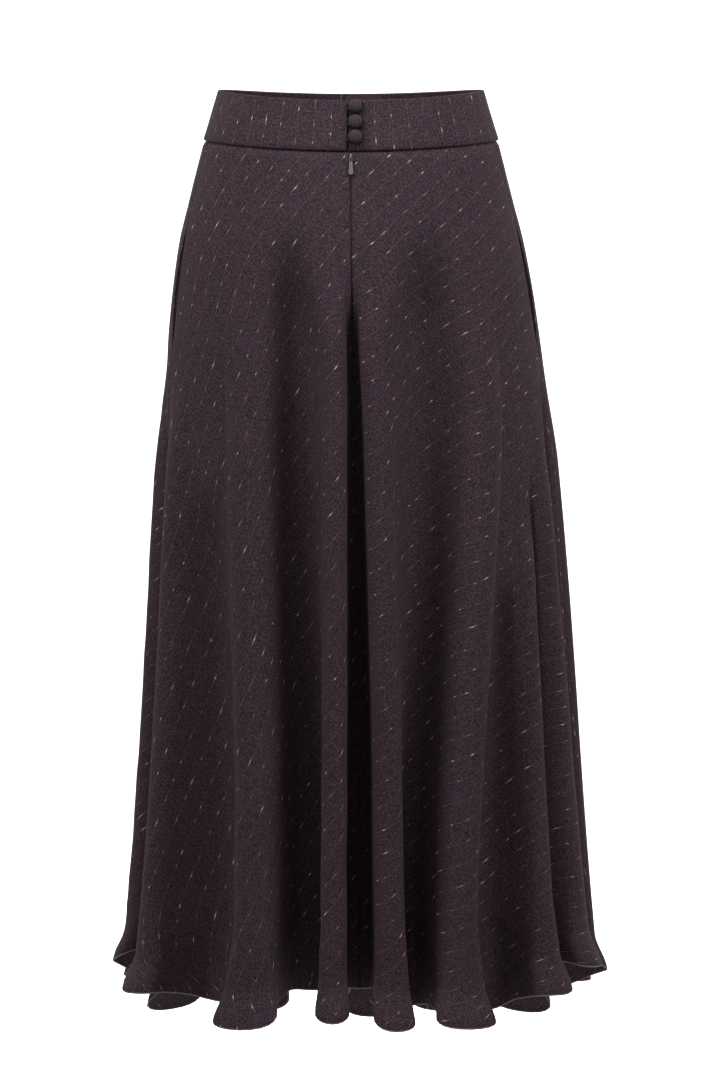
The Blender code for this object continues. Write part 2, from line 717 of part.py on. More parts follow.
def tab_outline():
    """The pull tab's outer edge: a narrow top, a slim waist and a round foot."""
    waist = (TAB_NECK_HALF_WIDTH * TAB_WAIST_SHARE, TAB_HOLE_FOOT - TAB_WAIST_BELOW_HOLE)
    edge = [
        (TAB_NECK_HALF_WIDTH - TAB_CORNER, TAB_TOP),
        (TAB_NECK_HALF_WIDTH, TAB_TOP - TAB_CORNER),
        (TAB_NECK_HALF_WIDTH, TAB_HOLE_FOOT - TAB_CORNER),
        waist,
    ]
    foot_y = -TAB_LENGTH + TAB_FOOT_HALF_WIDTH
    points = list(edge)
    for step in range(TAB_ROUND_POINTS + 1):
        angle = -math.pi * step / TAB_ROUND_POINTS
        x, y = TAB_FOOT_HALF_WIDTH * math.cos(angle), TAB_FOOT_HALF_WIDTH * math.sin(angle)
        points.append((x, foot_y + y))
    points += [(-x, y) for x, y in reversed(edge)]
    return points


def tab_hole():
    """The hole near the tab's top that the slider's bridge passes through."""
    return [
        (-TAB_HOLE_HALF_WIDTH, TAB_HOLE_TOP),
        (TAB_HOLE_HALF_WIDTH, TAB_HOLE_TOP),
        (TAB_HOLE_HALF_WIDTH, TAB_HOLE_FOOT),
        (-TAB_HOLE_HALF_WIDTH, TAB_HOLE_FOOT),
    ]


def add_tab(collection):
    """The zip's pull tab, a flat plate that swings on its upper bar."""
    curve = bpy.data.curves.new("zip_pull_tab", "CURVE")
    curve.dimensions = "2D"
    curve.fill_mode = "BOTH"
    curve.extrude = TAB_THICKNESS / 2.0
    for outline in (tab_outline(), tab_hole()):
        spline = curve.splines.new("POLY")
        spline.points.add(len(outline) - 1)
        spline.use_cyclic_u = True
        for point, (x, y) in zip(spline.points, outline):
            point.co = (x, y, 0.0, 1.0)
    made = add_object("zip_pull_tab", curve, "zip_metal", collection)
    made.matrix_world = zip_frame()


def main():
    """Builds the skirt in an empty scene."""
    for old in list(bpy.data.objects):
        bpy.data.objects.remove(old)
    skirt = bpy.data.collections.new("midi_skirt")
    cutters = bpy.data.collections.new("midi_skirt_cutters")
    bpy.context.scene.collection.children.link(skirt)
    bpy.context.scene.collection.children.link(cutters)

    add_panel("skirt_front_left", 0, LEFT_SEAM_TURN, skirt)
    add_panel("skirt_back", LEFT_SEAM_TURN, RIGHT_SEAM_TURN, skirt)
    add_panel("skirt_front_right", RIGHT_SEAM_TURN, WHOLE_TURN, skirt)
    add_band(skirt)
    add_label(skirt)
    add_pocket_bag("pocket_bag_left", LEFT_SEAM_TURN, 1, skirt)
    add_pocket_bag("pocket_bag_right", RIGHT_SEAM_TURN, -1, skirt)
    for number, z in enumerate(BUTTON_HEIGHTS, start=1):
        add_button(f"button_{number}", BUTTON_X, z, skirt)
        add_loop(f"button_loop_{number}", z, skirt)
    add_slider(skirt, cutters)
    add_tab(skirt)


main()
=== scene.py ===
"""Looks of a flared midi skirt in slubbed pinstripe suiting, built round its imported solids.

Metres, +Z up. The front, with its zip and buttons, faces -Y, and the wearer's left is +X.
The wall of the skirt is one surface, SkirtForm.wall(turns, downs), the same as the solids'.
down is the distance below the waist seam. turn counts folds and valleys round the skirt: an
even whole number is a valley's middle, the odd one after it a fold's nose, and turn 0 is the
centre front seam.
"""

import json
import logging
import math
from collections.abc import Iterable, Sequence
from dataclasses import dataclass, field
from enum import Enum
from typing import Any

import bpy
import numpy as np
from mathutils import Matrix, Vector

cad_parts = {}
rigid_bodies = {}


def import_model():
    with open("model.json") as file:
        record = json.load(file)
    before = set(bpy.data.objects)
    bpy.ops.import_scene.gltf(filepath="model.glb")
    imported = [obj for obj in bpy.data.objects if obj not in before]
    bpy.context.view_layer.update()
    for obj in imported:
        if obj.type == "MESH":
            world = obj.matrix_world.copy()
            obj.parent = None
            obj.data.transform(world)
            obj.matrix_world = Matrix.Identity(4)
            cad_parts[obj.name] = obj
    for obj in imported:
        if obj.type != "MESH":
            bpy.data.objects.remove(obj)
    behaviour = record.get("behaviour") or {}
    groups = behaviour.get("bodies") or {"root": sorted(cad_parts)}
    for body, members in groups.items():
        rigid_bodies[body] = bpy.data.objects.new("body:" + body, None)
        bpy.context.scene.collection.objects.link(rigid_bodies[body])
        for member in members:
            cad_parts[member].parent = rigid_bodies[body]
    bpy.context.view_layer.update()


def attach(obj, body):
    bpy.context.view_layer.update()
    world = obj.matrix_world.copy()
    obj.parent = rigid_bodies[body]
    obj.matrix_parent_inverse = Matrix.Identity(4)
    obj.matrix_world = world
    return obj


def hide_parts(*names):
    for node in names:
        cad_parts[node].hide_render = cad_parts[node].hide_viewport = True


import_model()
LOG = logging.getLogger("midi_skirt")

SKIRT_LENGTH = 0.800
SEAM_GAP = 0.0003
CLOTH_THICKNESS = 0.0016


class Seam(Enum):
    """The upright seams of the skirt, each in a valley, by its turn."""

    CENTRE_FRONT = 0
    LEFT_SIDE = 8
    RIGHT_SIDE = 26
    CENTRE_FRONT_AGAIN = 32


class Body(Enum):
    """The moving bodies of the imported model."""

    SKIRT = "skirt"
    ZIP_PULL = "zip_pull"


class Slot(Enum):
    """The record's material slots."""

    SUITING = "suiting"
    POCKETING = "pocketing"
    BUTTON_COVER = "button_cover"
    LOOP_CORD = "loop_cord"
    LABEL = "label"
    ZIP_METAL = "zip_metal"


# --------------------------------------------------------------------------------------
# Shader maths
# --------------------------------------------------------------------------------------


class Term:
    """A number that changes over a surface. An expression on terms adds its Math nodes."""

    def __init__(self, nodes: "Nodes", socket: bpy.types.NodeSocket) -> None:
        """Wraps a socket.

        Args:
            nodes: the node tree that the socket is in.
            socket: the output that gives the number.
        """
        self.nodes = nodes
        self.socket = socket

    def maths(self, operation: str, *others: "Term | float") -> "Term":
        """A Math node on this number.

        Args:
            operation: the node's operation.
            others: its other inputs, in their order.

        Returns:
            The node's result.
        """
        inputs = dict(enumerate((self, *others)))
        return self.nodes.add("ShaderNodeMath", {"operation": operation}, inputs)

    def __add__(self, other: "Term | float") -> "Term":
        """The sum."""
        return self.maths("ADD", other)

    __radd__ = __add__

    def __sub__(self, other: "Term | float") -> "Term":
        """The difference."""
        return self.maths("SUBTRACT", other)

    def __rsub__(self, other: float) -> "Term":
        """The difference from a plain number."""
        return self.maths("MULTIPLY_ADD", -1.0, other)

    def __mul__(self, other: "Term | float") -> "Term":
        """The product."""
        return self.maths("MULTIPLY", other)

    __rmul__ = __mul__

    def __truediv__(self, other: "Term | float") -> "Term":
        """The quotient."""
        return self.maths("DIVIDE", other)

    def __abs__(self) -> "Term":
        """The size without its sign."""
        return self.maths("ABSOLUTE")

    def floor(self) -> "Term":
        """The whole number below."""
        return self.maths("FLOOR")

    def wave(self, period: float) -> "Term":
        """A sine of this period, between -1 and 1."""
        return (self * (math.tau / period)).maths("SINE")

    def between(self, low: "Term | float", high: "Term | float") -> "Term":
        """Zero below low, one above high, and a smooth step between.

        Args:
            low: where the step starts.
            high: where it ends.

        Returns:
            The step.
        """
        settings = {"interpolation_type": "SMOOTHSTEP"}
        inputs = {"Value": self, "From Min": low, "From Max": high}
        return self.nodes.add("ShaderNodeMapRange", settings, inputs)


class Nodes:
    """The node tree of one finish."""

    def __init__(self, name: str) -> None:
        """Makes the material and clears its tree down to the shader.

        Args:
            name: the material's name.
        """
        self.material = bpy.data.materials.new(name)
        self.material.use_nodes = True
        self.tree = self.material.node_tree
        self.shader = self.tree.nodes["Principled BSDF"]

    def add(
        self,
        kind: str,
        settings: dict[str, Any] | None = None,
        inputs: dict[int | str, Any] | None = None,
        output: int | str = 0,
    ) -> Term:
        """Adds one node.

        Args:
            kind: the node's type.
            settings: its own settings, which are set first.
            inputs: a value or a link for each of its sockets that is used.
            output: the socket that is wanted.

        Returns:
            That output.
        """
        node = self.tree.nodes.new(kind)
        for key, value in (settings or {}).items():
            setattr(node, key, value)
        for key, value in (inputs or {}).items():
            self.put(node.inputs[key], value)
        return Term(self, node.outputs[output])

    def put(self, socket: bpy.types.NodeSocket, value: Any) -> None:
        """Gives a socket its value, or a link to a term.

        Args:
            socket: the input.
            value: a number, a colour or a term.
        """
        if isinstance(value, Term):
            self.tree.links.new(value.socket, socket)
        elif isinstance(value, tuple) and len(value) == 3 and socket.type == "RGBA":
            socket.default_value = (*value, 1.0)
        else:
            socket.default_value = value

    def mix(self, share: Term, first: Any, second: Any) -> Term:
        """A colour this share of the way from the first to the second.

        Args:
            share: 0 gives the first and 1 the second.
            first: a colour or a term.
            second: a colour or a term.

        Returns:
            The mixed colour.
        """
        return self.add("ShaderNodeMix", {"data_type": "RGBA"}, {0: share, 6: first, 7: second}, 2)

    def vector(self, x: Term | float, y: Term | float, z: Term | float = 0.0) -> Term:
        """A vector of three numbers."""
        return self.add("ShaderNodeCombineXYZ", None, {0: x, 1: y, 2: z})

    def noise(self, place: Term, detail: float = 1.0, scale: float = 1.0) -> Term:
        """Soft noise around one half.

        Args:
            place: the vector that it is read at.
            detail: how many finer octaves it has.
            scale: how often it changes in a unit.

        Returns:
            The noise.
        """
        inputs = {"Vector": place, "Scale": scale, "Detail": detail}
        return self.add("ShaderNodeTexNoise", None, inputs)

    def draw(self, first: Term | float, second: Term | float) -> tuple[Term, Term, Term]:
        """Three even random numbers for a pair of whole numbers."""
        settings = {"noise_dimensions": "2D"}
        inputs = {"Vector": self.vector(first, second)}
        drawn = self.add("ShaderNodeTexWhiteNoise", settings, inputs, "Color")
        split = self.add("ShaderNodeSeparateColor", None, {0: drawn}).socket.node
        return tuple(Term(self, split.outputs[channel]) for channel in range(3))

    def cut_place(self) -> tuple[Term, Term]:
        """The place in the flat cut, in metres.

        Returns:
            The distance across the stripes and the distance along them.
        """
        place = self.add("ShaderNodeUVMap", {"uv_map": "cut"})
        across = self.add("ShaderNodeSeparateXYZ", None, {0: place}, 0)
        along = self.add("ShaderNodeSeparateXYZ", None, {0: place}, 1)
        return across, along

    def object_place(self) -> tuple[Term, Term, Term]:
        """The place in the object's own coordinates, in metres: X, Y and Z."""
        place = self.add("ShaderNodeTexCoord", None, None, "Object")
        split = self.add("ShaderNodeSeparateXYZ", None, {0: place}).socket.node
        return tuple(Term(self, split.outputs[axis]) for axis in range(3))

    def dress(self, plain: dict[str, Any], bump: Term | None, strength: float, depth: float) -> None:
        """Sets the shader.

        Args:
            plain: a value or a link for each of the shader's inputs that is used.
            bump: the height of the surface, from 0 to 1.
            strength: how far the bump shows.
            depth: the height of 1, in metres.
        """
        for key, value in plain.items():
            self.put(self.shader.inputs[key], value)
        if bump is not None:
            inputs = {"Height": bump, "Strength": strength, "Distance": depth}
            normal = self.add("ShaderNodeBump", None, inputs)
            self.put(self.shader.inputs["Normal"], normal)


# --------------------------------------------------------------------------------------
# Finishes
# --------------------------------------------------------------------------------------

Colour = tuple[float, float, float]


@dataclass(frozen=True)
class Suiting:
    """Worsted twill with slubbed pinstripes: rust threads that swell into cream slubs."""

    name: str = "suiting"
    dark: Colour = (0.0085, 0.0050, 0.0074)
    light: Colour = (0.0560, 0.0350, 0.0480)
    gold_fleck: Colour = (0.150, 0.092, 0.060)
    blue_fleck: Colour = (0.050, 0.054, 0.078)
    rust_thread: Colour = (0.170, 0.092, 0.056)
    cream_slub: Colour = (0.900, 0.680, 0.420)
    stripe_spacing: float = 0.0160
    thread_half_width: float = 0.00032
    slub_half_width: float = 0.00056
    slub_spacing: float = 0.0230
    shortest_slub: float = 0.0030
    longest_slub: float = 0.0110
    waver: float = 0.0005
    fray: float = 0.0005
    thread_cover: float = 0.27
    slub_cover: float = 0.70
    twill_period: float = 0.00125
    sheen: float = 0.02
    # lift raises the tone of the ground; the hem's edge copy uses it for its painted highlight.
    lift: float = 0.0

    def slubs(self, nodes: Nodes, across: Term, along: Term) -> tuple[Term, Term]:
        """Where the pinstripes and their slubs are. Each stretch of a stripe holds one slub.

        Args:
            nodes: the finish's nodes.
            across: distance across the stripes.
            along: distance along the stripes.

        Returns:
            How far the thread covers the cloth, and how far it has swollen.
        """
        counted = across / self.stripe_spacing
        stripe = counted.floor()
        stretched = along / self.slub_spacing + nodes.draw(stripe, 0.5)[0]
        stretch = stretched.floor()
        place, size, tone = nodes.draw(stripe, stretch)
        half_length = size * size * (self.longest_slub - self.shortest_slub) + self.shortest_slub
        away = abs(stretched - stretch - (place * 0.6 + 0.2)) * self.slub_spacing / half_length
        taper = 1.0 - away.between(-0.30, 1.0)
        drift = nodes.noise(nodes.vector(stripe * 2.3, along * 60.0), 1.0) - 0.5
        fuzz = nodes.noise(nodes.vector(across * 1200.0, along * 500.0, 7.0), 1.0) - 0.5
        middle = (counted - stripe - 0.5) * self.stripe_spacing + drift * self.waver
        distance = abs(middle) + fuzz * self.fray
        half = taper * (self.slub_half_width - self.thread_half_width) + self.thread_half_width
        cover = 1.0 - distance.between(half * 0.35, half)
        return cover, taper * taper * (tone * tone * 0.95 + 0.35)

    def made(self) -> bpy.types.Material:
        """The material."""
        nodes = Nodes(self.name)
        across, along = nodes.cut_place()
        warp = nodes.noise(nodes.vector(across * 1100.0, along * 110.0), 1.0)
        weft = nodes.noise(nodes.vector(across * 110.0, along * 1100.0, 5.0), 1.0)
        grain = nodes.noise(nodes.vector(across * 620.0, along * 620.0, 9.0), 2.0)
        clouds = nodes.noise(nodes.vector(across * 14.0, along * 9.0, 2.0), 3.0)
        twill = (across - along).wave(self.twill_period)
        weave = warp * 0.28 + weft * 0.28 + grain * 0.52 + twill * 0.07
        shade = (weave + clouds * 0.08 + self.lift).between(0.33, 0.83)
        ground = nodes.mix(shade, self.dark, self.light)
        gold = nodes.noise(nodes.vector(across * 900.0, along * 500.0, 20.0), 0.0)
        blue = nodes.noise(nodes.vector(across * 800.0, along * 650.0, 33.0), 0.0)
        flecked = nodes.mix(gold.between(0.62, 0.74) * 0.45, ground, self.gold_fleck)
        flecked = nodes.mix(blue.between(0.64, 0.75) * 0.40, flecked, self.blue_fleck)
        cover, swollen = self.slubs(nodes, across, along)
        thread = nodes.mix(swollen, self.rust_thread, self.cream_slub)
        share = cover * (swollen * self.slub_cover + self.thread_cover)
        colour = nodes.mix(share, flecked, thread)
        height = warp * 0.3 + weft * 0.3 + twill * 0.12 + cover * swollen * 0.7
        nodes.dress(
            {
                "Base Color": colour,
                "Roughness": 0.94 - weave * 0.10,
                "Specular IOR Level": 0.08,
                "Sheen Weight": self.sheen,
                "Sheen Roughness": 0.45,
                "Sheen Tint": (0.80, 0.70, 0.80, 1.0),
            },
            height,
            0.45,
            0.0004,
        )
        return nodes.material


@dataclass(frozen=True)
class PlainWeave:
    """A plain cloth of crossed threads, read from the object's place or its flat cut."""

    name: str
    dark: Colour
    light: Colour
    thread: float
    roughness: float = 0.9
    sheen: float = 0.1
    on_cut: bool = False

    def made(self) -> bpy.types.Material:
        """The material."""
        nodes = Nodes(self.name)
        if self.on_cut:
            across, along = nodes.cut_place()
        else:
            across, _, along = nodes.object_place()
        warp = across.wave(self.thread) * 0.5 + 0.5
        weft = along.wave(self.thread) * 0.5 + 0.5
        fuzz = nodes.noise(nodes.vector(across / self.thread, along / self.thread), 2.0)
        weave = warp * 0.30 + weft * 0.30 + fuzz * 0.55
        shade = weave.between(0.20, 0.95)
        nodes.dress(
            {
                "Base Color": nodes.mix(shade, self.dark, self.light),
                "Roughness": self.roughness - weave * 0.08,
                "Specular IOR Level": 0.22,
                "Sheen Weight": self.sheen,
                "Sheen Roughness": 0.5,
            },
            weave,
            0.5,
            self.thread * 0.25,
        )
        return nodes.material


@dataclass(frozen=True)
class PaintedMetal:
    """Zip metal under a satin mauve-grey paint, rubbed brighter in patches."""

    name: str = "zip_paint"
    paint: Colour = (0.155, 0.132, 0.150)
    rubbed: Colour = (0.300, 0.268, 0.292)

    def made(self) -> bpy.types.Material:
        """The material."""
        nodes = Nodes(self.name)
        x, y, z = nodes.object_place()
        patches = nodes.noise(nodes.vector(x * 900.0, y * 900.0, z * 500.0), 3.0)
        rub = patches.between(0.52, 0.72)
        nodes.dress(
            {
                "Base Color": nodes.mix(rub, self.paint, self.rubbed),
                "Roughness": 0.30 + patches * 0.14,
                "Metallic": rub * 0.35 + 0.35,
                "Coat Weight": 0.25,
                "Coat Roughness": 0.25,
            },
            patches,
            0.15,
            0.0001,
        )
        return nodes.material


@dataclass(frozen=True)
class Paper:
    """Matt seamless paper of the bowl round the skirt."""

    name: str = "bowl_paper"
    colour: Colour = (0.50, 0.50, 0.50)

    def made(self) -> bpy.types.Material:
        """The material."""
        nodes = Nodes(self.name)
        x, y, z = nodes.object_place()
        tooth = nodes.noise(nodes.vector(x * 60.0, y * 60.0, z * 60.0), 3.0)
        nodes.dress({"Base Color": self.colour, "Roughness": 0.92}, tooth, 0.05, 0.001)
        return nodes.material


class Finishes:
    """Every material of the scene, each made once."""

    def __init__(self) -> None:
        """Makes the materials."""
        self.suiting = Suiting().made()
        # A lighter copy of the suiting for the hem's lip rows: a painted highlight along the hem's
        # edge.
        self.suiting_edge_highlight = Suiting("suiting_edge_highlight", light=(0.150, 0.118, 0.140), lift=0.30).made()
        # A lighter copy of the suiting for the inside faces: painted light where the inside of the hem
        # shows.
        self.suiting_inside_painted_light = Suiting("suiting_inside_painted_light", light=(0.092, 0.064, 0.080)).made()
        self.button_cover = PlainWeave(
            "button_cover", (0.004, 0.003, 0.004), (0.054, 0.036, 0.042), 0.0012, 0.94, 0.02
        ).made()
        self.loop_cord = PlainWeave(
            "loop_cord", (0.003, 0.002, 0.003), (0.014, 0.010, 0.013), 0.0006
        ).made()
        self.pocketing = PlainWeave(
            "pocketing", (0.016, 0.013, 0.016), (0.048, 0.040, 0.046), 0.0008, on_cut=True
        ).made()
        self.label = PlainWeave(
            "label_satin", (0.034, 0.015, 0.016), (0.086, 0.042, 0.043), 0.0005, 0.70, 0.05, True
        ).made()
        self.tape = PlainWeave(
            "zip_tape", (0.012, 0.009, 0.012), (0.038, 0.030, 0.036), 0.0007, on_cut=True
        ).made()
        self.zip_paint = PaintedMetal().made()
        self.paper = Paper().made()


# --------------------------------------------------------------------------------------
# The skirt's form
# --------------------------------------------------------------------------------------


def mix(start: Any, end: Any, share: Any) -> Any:
    """The value this share of the way from start to end."""
    return start + (end - start) * share


def smooth(value: Any) -> Any:
    """Zero below 0, one above 1, and an even S between."""
    value = np.clip(value, 0.0, 1.0)
    return value * value * (3.0 - 2.0 * value)


def along_rows(points: np.ndarray) -> np.ndarray:
    """Distance along each row of a grid of points, from its first column."""
    steps = np.linalg.norm(np.diff(points, axis=1), axis=2)
    return np.concatenate([np.zeros((len(points), 1)), np.cumsum(steps, axis=1)], axis=1)


def normals_of(points: np.ndarray) -> np.ndarray:
    """Outward normals of a grid whose rows go down and whose columns go round to the left."""
    down = np.gradient(points, axis=0)
    round_it = np.gradient(points, axis=1)
    crossed = np.cross(down, round_it)
    return crossed / np.linalg.norm(crossed, axis=2, keepdims=True)


@dataclass(frozen=True)
class Level:
    """The ring that runs half way between folds and valleys, at one distance down."""

    down: float
    half_width: float
    half_depth: float
    centre_x: float


@dataclass(frozen=True)
class Grain:
    """How the stripes of a panel's cut lean, in degrees from upright, along one fold."""

    turn: float
    lean: float


@dataclass(frozen=True)
class Fold:
    """One fold, with the valley before it. Azimuths are in degrees from the front, the
    valley's depth is a share of the folds' own, and its crispness says how sharply it is
    cut in. Its hem is hem_rise higher than its folds' hem. The fold's own hem is hem_tilt
    higher on its further side, and lower on the nearer."""

    top_azimuth: float
    hem_azimuth: float
    half_width: float
    depth: float
    start: float
    lean: float
    hem_z: float
    valley_start: float
    valley: float
    crispness: float
    hem_rise: float
    hem_tilt: float


LEVELS = (
    Level(0.000, 0.1363, 0.1030, 0.0000),
    Level(0.025, 0.1425, 0.1075, 0.0000),
    Level(0.060, 0.1510, 0.1140, 0.0000),
    Level(0.100, 0.1605, 0.1200, 0.0005),
    Level(0.160, 0.1695, 0.1265, 0.0020),
    Level(0.250, 0.1778, 0.1335, 0.0045),
    Level(0.350, 0.1822, 0.1395, 0.0060),
    Level(0.500, 0.1848, 0.1455, 0.0080),
    Level(0.650, 0.1880, 0.1510, 0.0085),
    Level(0.800, 0.1940, 0.1580, 0.0088),
)

FOLDS = (
    Fold(6.0, 7.7, 0.0129, 0.031, 0.060, 0.002, -0.839, 0.105, 1.50, 0.90, 0.030, 0.0),
    Fold(47.0, 26.3, 0.0195, 0.031, 0.110, 0.000, -0.838, 0.060, 1.50, 0.50, 0.017, 0.0),
    Fold(60.0, 54.0, 0.0160, 0.028, 0.320, 0.001, -0.811, 0.380, 0.90, 0.20, -0.002, 0.0),
    Fold(68.0, 74.0, 0.0180, 0.027, 0.250, 0.000, -0.789, 0.300, 0.45, 0.40, 0.010, 0.0),
    Fold(87.0, 93.5, 0.0200, 0.028, 0.200, 0.000, -0.797, 0.200, 0.60, 0.60, -0.002, -0.008),
    Fold(112.0, 113.5, 0.0210, 0.028, 0.200, 0.003, -0.812, 0.200, 0.75, 0.60, -0.013, -0.006),
    Fold(137.0, 136.0, 0.0230, 0.031, 0.150, -0.003, -0.846, 0.160, 0.90, 0.60, 0.028, 0.0),
    Fold(161.0, 159.0, 0.0210, 0.031, 0.170, 0.000, -0.848, 0.150, 1.00, 0.50, 0.030, 0.0),
    Fold(179.0, 177.5, 0.0180, 0.028, 0.140, 0.000, -0.854, 0.130, 1.10, 0.70, 0.030, 0.0),
    Fold(206.0, 207.5, 0.0230, 0.030, 0.180, 0.000, -0.849, 0.140, 0.90, 0.50, 0.034, 0.0),
    Fold(233.0, 235.0, 0.0225, 0.031, 0.150, -0.002, -0.842, 0.160, 0.90, 0.60, 0.028, 0.0),
    Fold(253.0, 252.5, 0.0170, 0.027, 0.220, 0.000, -0.806, 0.200, 0.75, 0.60, 0.018, 0.006),
    Fold(276.0, 271.0, 0.0175, 0.028, 0.200, 0.000, -0.787, 0.220, 0.60, 0.60, -0.016, 0.008),
    Fold(292.0, 291.5, 0.0180, 0.029, 0.200, 0.000, -0.812, 0.260, 0.50, 0.50, 0.012, 0.0),
    Fold(323.5, 331.0, 0.0215, 0.031, 0.100, 0.000, -0.839, 0.300, 1.35, 0.15, 0.004, 0.0),
    Fold(354.0, 352.4, 0.0106, 0.031, 0.050, 0.004, -0.832, 0.060, 1.60, 0.75, 0.028, 0.0),
)


@dataclass(frozen=True)
class BandForm:
    """The waistband's middle surface."""

    height: float = 0.0455
    thickness: float = 0.0024
    top_half_width: float = 0.1233
    top_half_depth: float = 0.0940
    foot_half_width: float = 0.1370
    foot_half_depth: float = 0.1035
    front_dip: float = 0.0095
    side_lift: float = 0.0033
    ends_x: float = -0.0026
    ends_gap: float = 0.0020

    def middle_z(self, azimuth: Any) -> Any:
        """Height of the band's middle: it dips in front and lifts at the sides."""
        return -self.front_dip * np.cos(azimuth) - self.side_lift * np.cos(2.0 * azimuth)

    def point(self, azimuth: Any, share: Any) -> np.ndarray:
        """The middle of the band's wall.

        Args:
            azimuth: radians from the front.
            share: 0 at the foot and 1 at the rim.

        Returns:
            The points, with X, Y and Z last.
        """
        half_width = mix(self.foot_half_width, self.top_half_width, share)
        half_depth = mix(self.foot_half_depth, self.top_half_depth, share)
        z = self.middle_z(azimuth) + self.height * (share - 0.5)
        x, y = half_width * np.sin(azimuth), -half_depth * np.cos(azimuth)
        return np.stack(np.broadcast_arrays(x, y, z), axis=-1)

    def normal(self, azimuth: Any, share: Any) -> np.ndarray:
        """The band's outward normal, with X, Y and Z last."""
        step = 0.01
        along = self.point(azimuth + step, share) - self.point(azimuth - step, share)
        up = self.point(azimuth, share + step) - self.point(azimuth, share - step)
        crossed = np.cross(along, up)
        return crossed / np.linalg.norm(crossed, axis=-1, keepdims=True)

    def strip(
        self, middle: float, width: float, columns: int, shares: np.ndarray, inward: float
    ) -> tuple[np.ndarray, np.ndarray]:
        """A flat strip that follows the inside of the band.

        Args:
            middle: azimuth of its middle.
            width: its width, in metres.
            columns: how many columns of points it has.
            shares: the rows' places, from 0 at the band's foot to 1 at its rim.
            inward: its distance inside the band's middle.

        Returns:
            The middle of its wall, and the places in its flat cut.
        """
        half = width / 2.0 / self.top_half_width
        azimuths = np.linspace(middle - half, middle + half, columns)[None, :]
        up = shares[:, None]
        points = self.point(azimuths, up) - inward * self.normal(azimuths, up)
        across = (azimuths - middle) * self.top_half_width
        return points, np.stack(np.broadcast_arrays(across, up * self.height), axis=-1)

    def front_frame(self, x: float, z: float) -> Matrix:
        """The place on the front of the band's outer face at this x and height."""
        share = (z - float(self.middle_z(0.0))) / self.height + 0.5
        normal = Vector(self.normal(0.0, share))
        point = Vector(self.point(0.0, share)) + normal * (self.thickness / 2.0)
        upward = normal.cross(Vector((1.0, 0.0, 0.0))).normalized()
        return frame_on(Vector((x, point.y, point.z)), upward, normal)


def frame_on(origin: Vector, upward: Vector, outward: Vector) -> Matrix:
    """A placing matrix: local Y points up along a surface and local Z out of it.

    Args:
        origin: the place.
        upward: unit vector up along the surface.
        outward: unit vector out of it.

    Returns:
        The matrix.
    """
    across = upward.cross(outward)
    rotation = Matrix((across, upward, outward)).transposed().to_4x4()
    return Matrix.Translation(origin) @ rotation


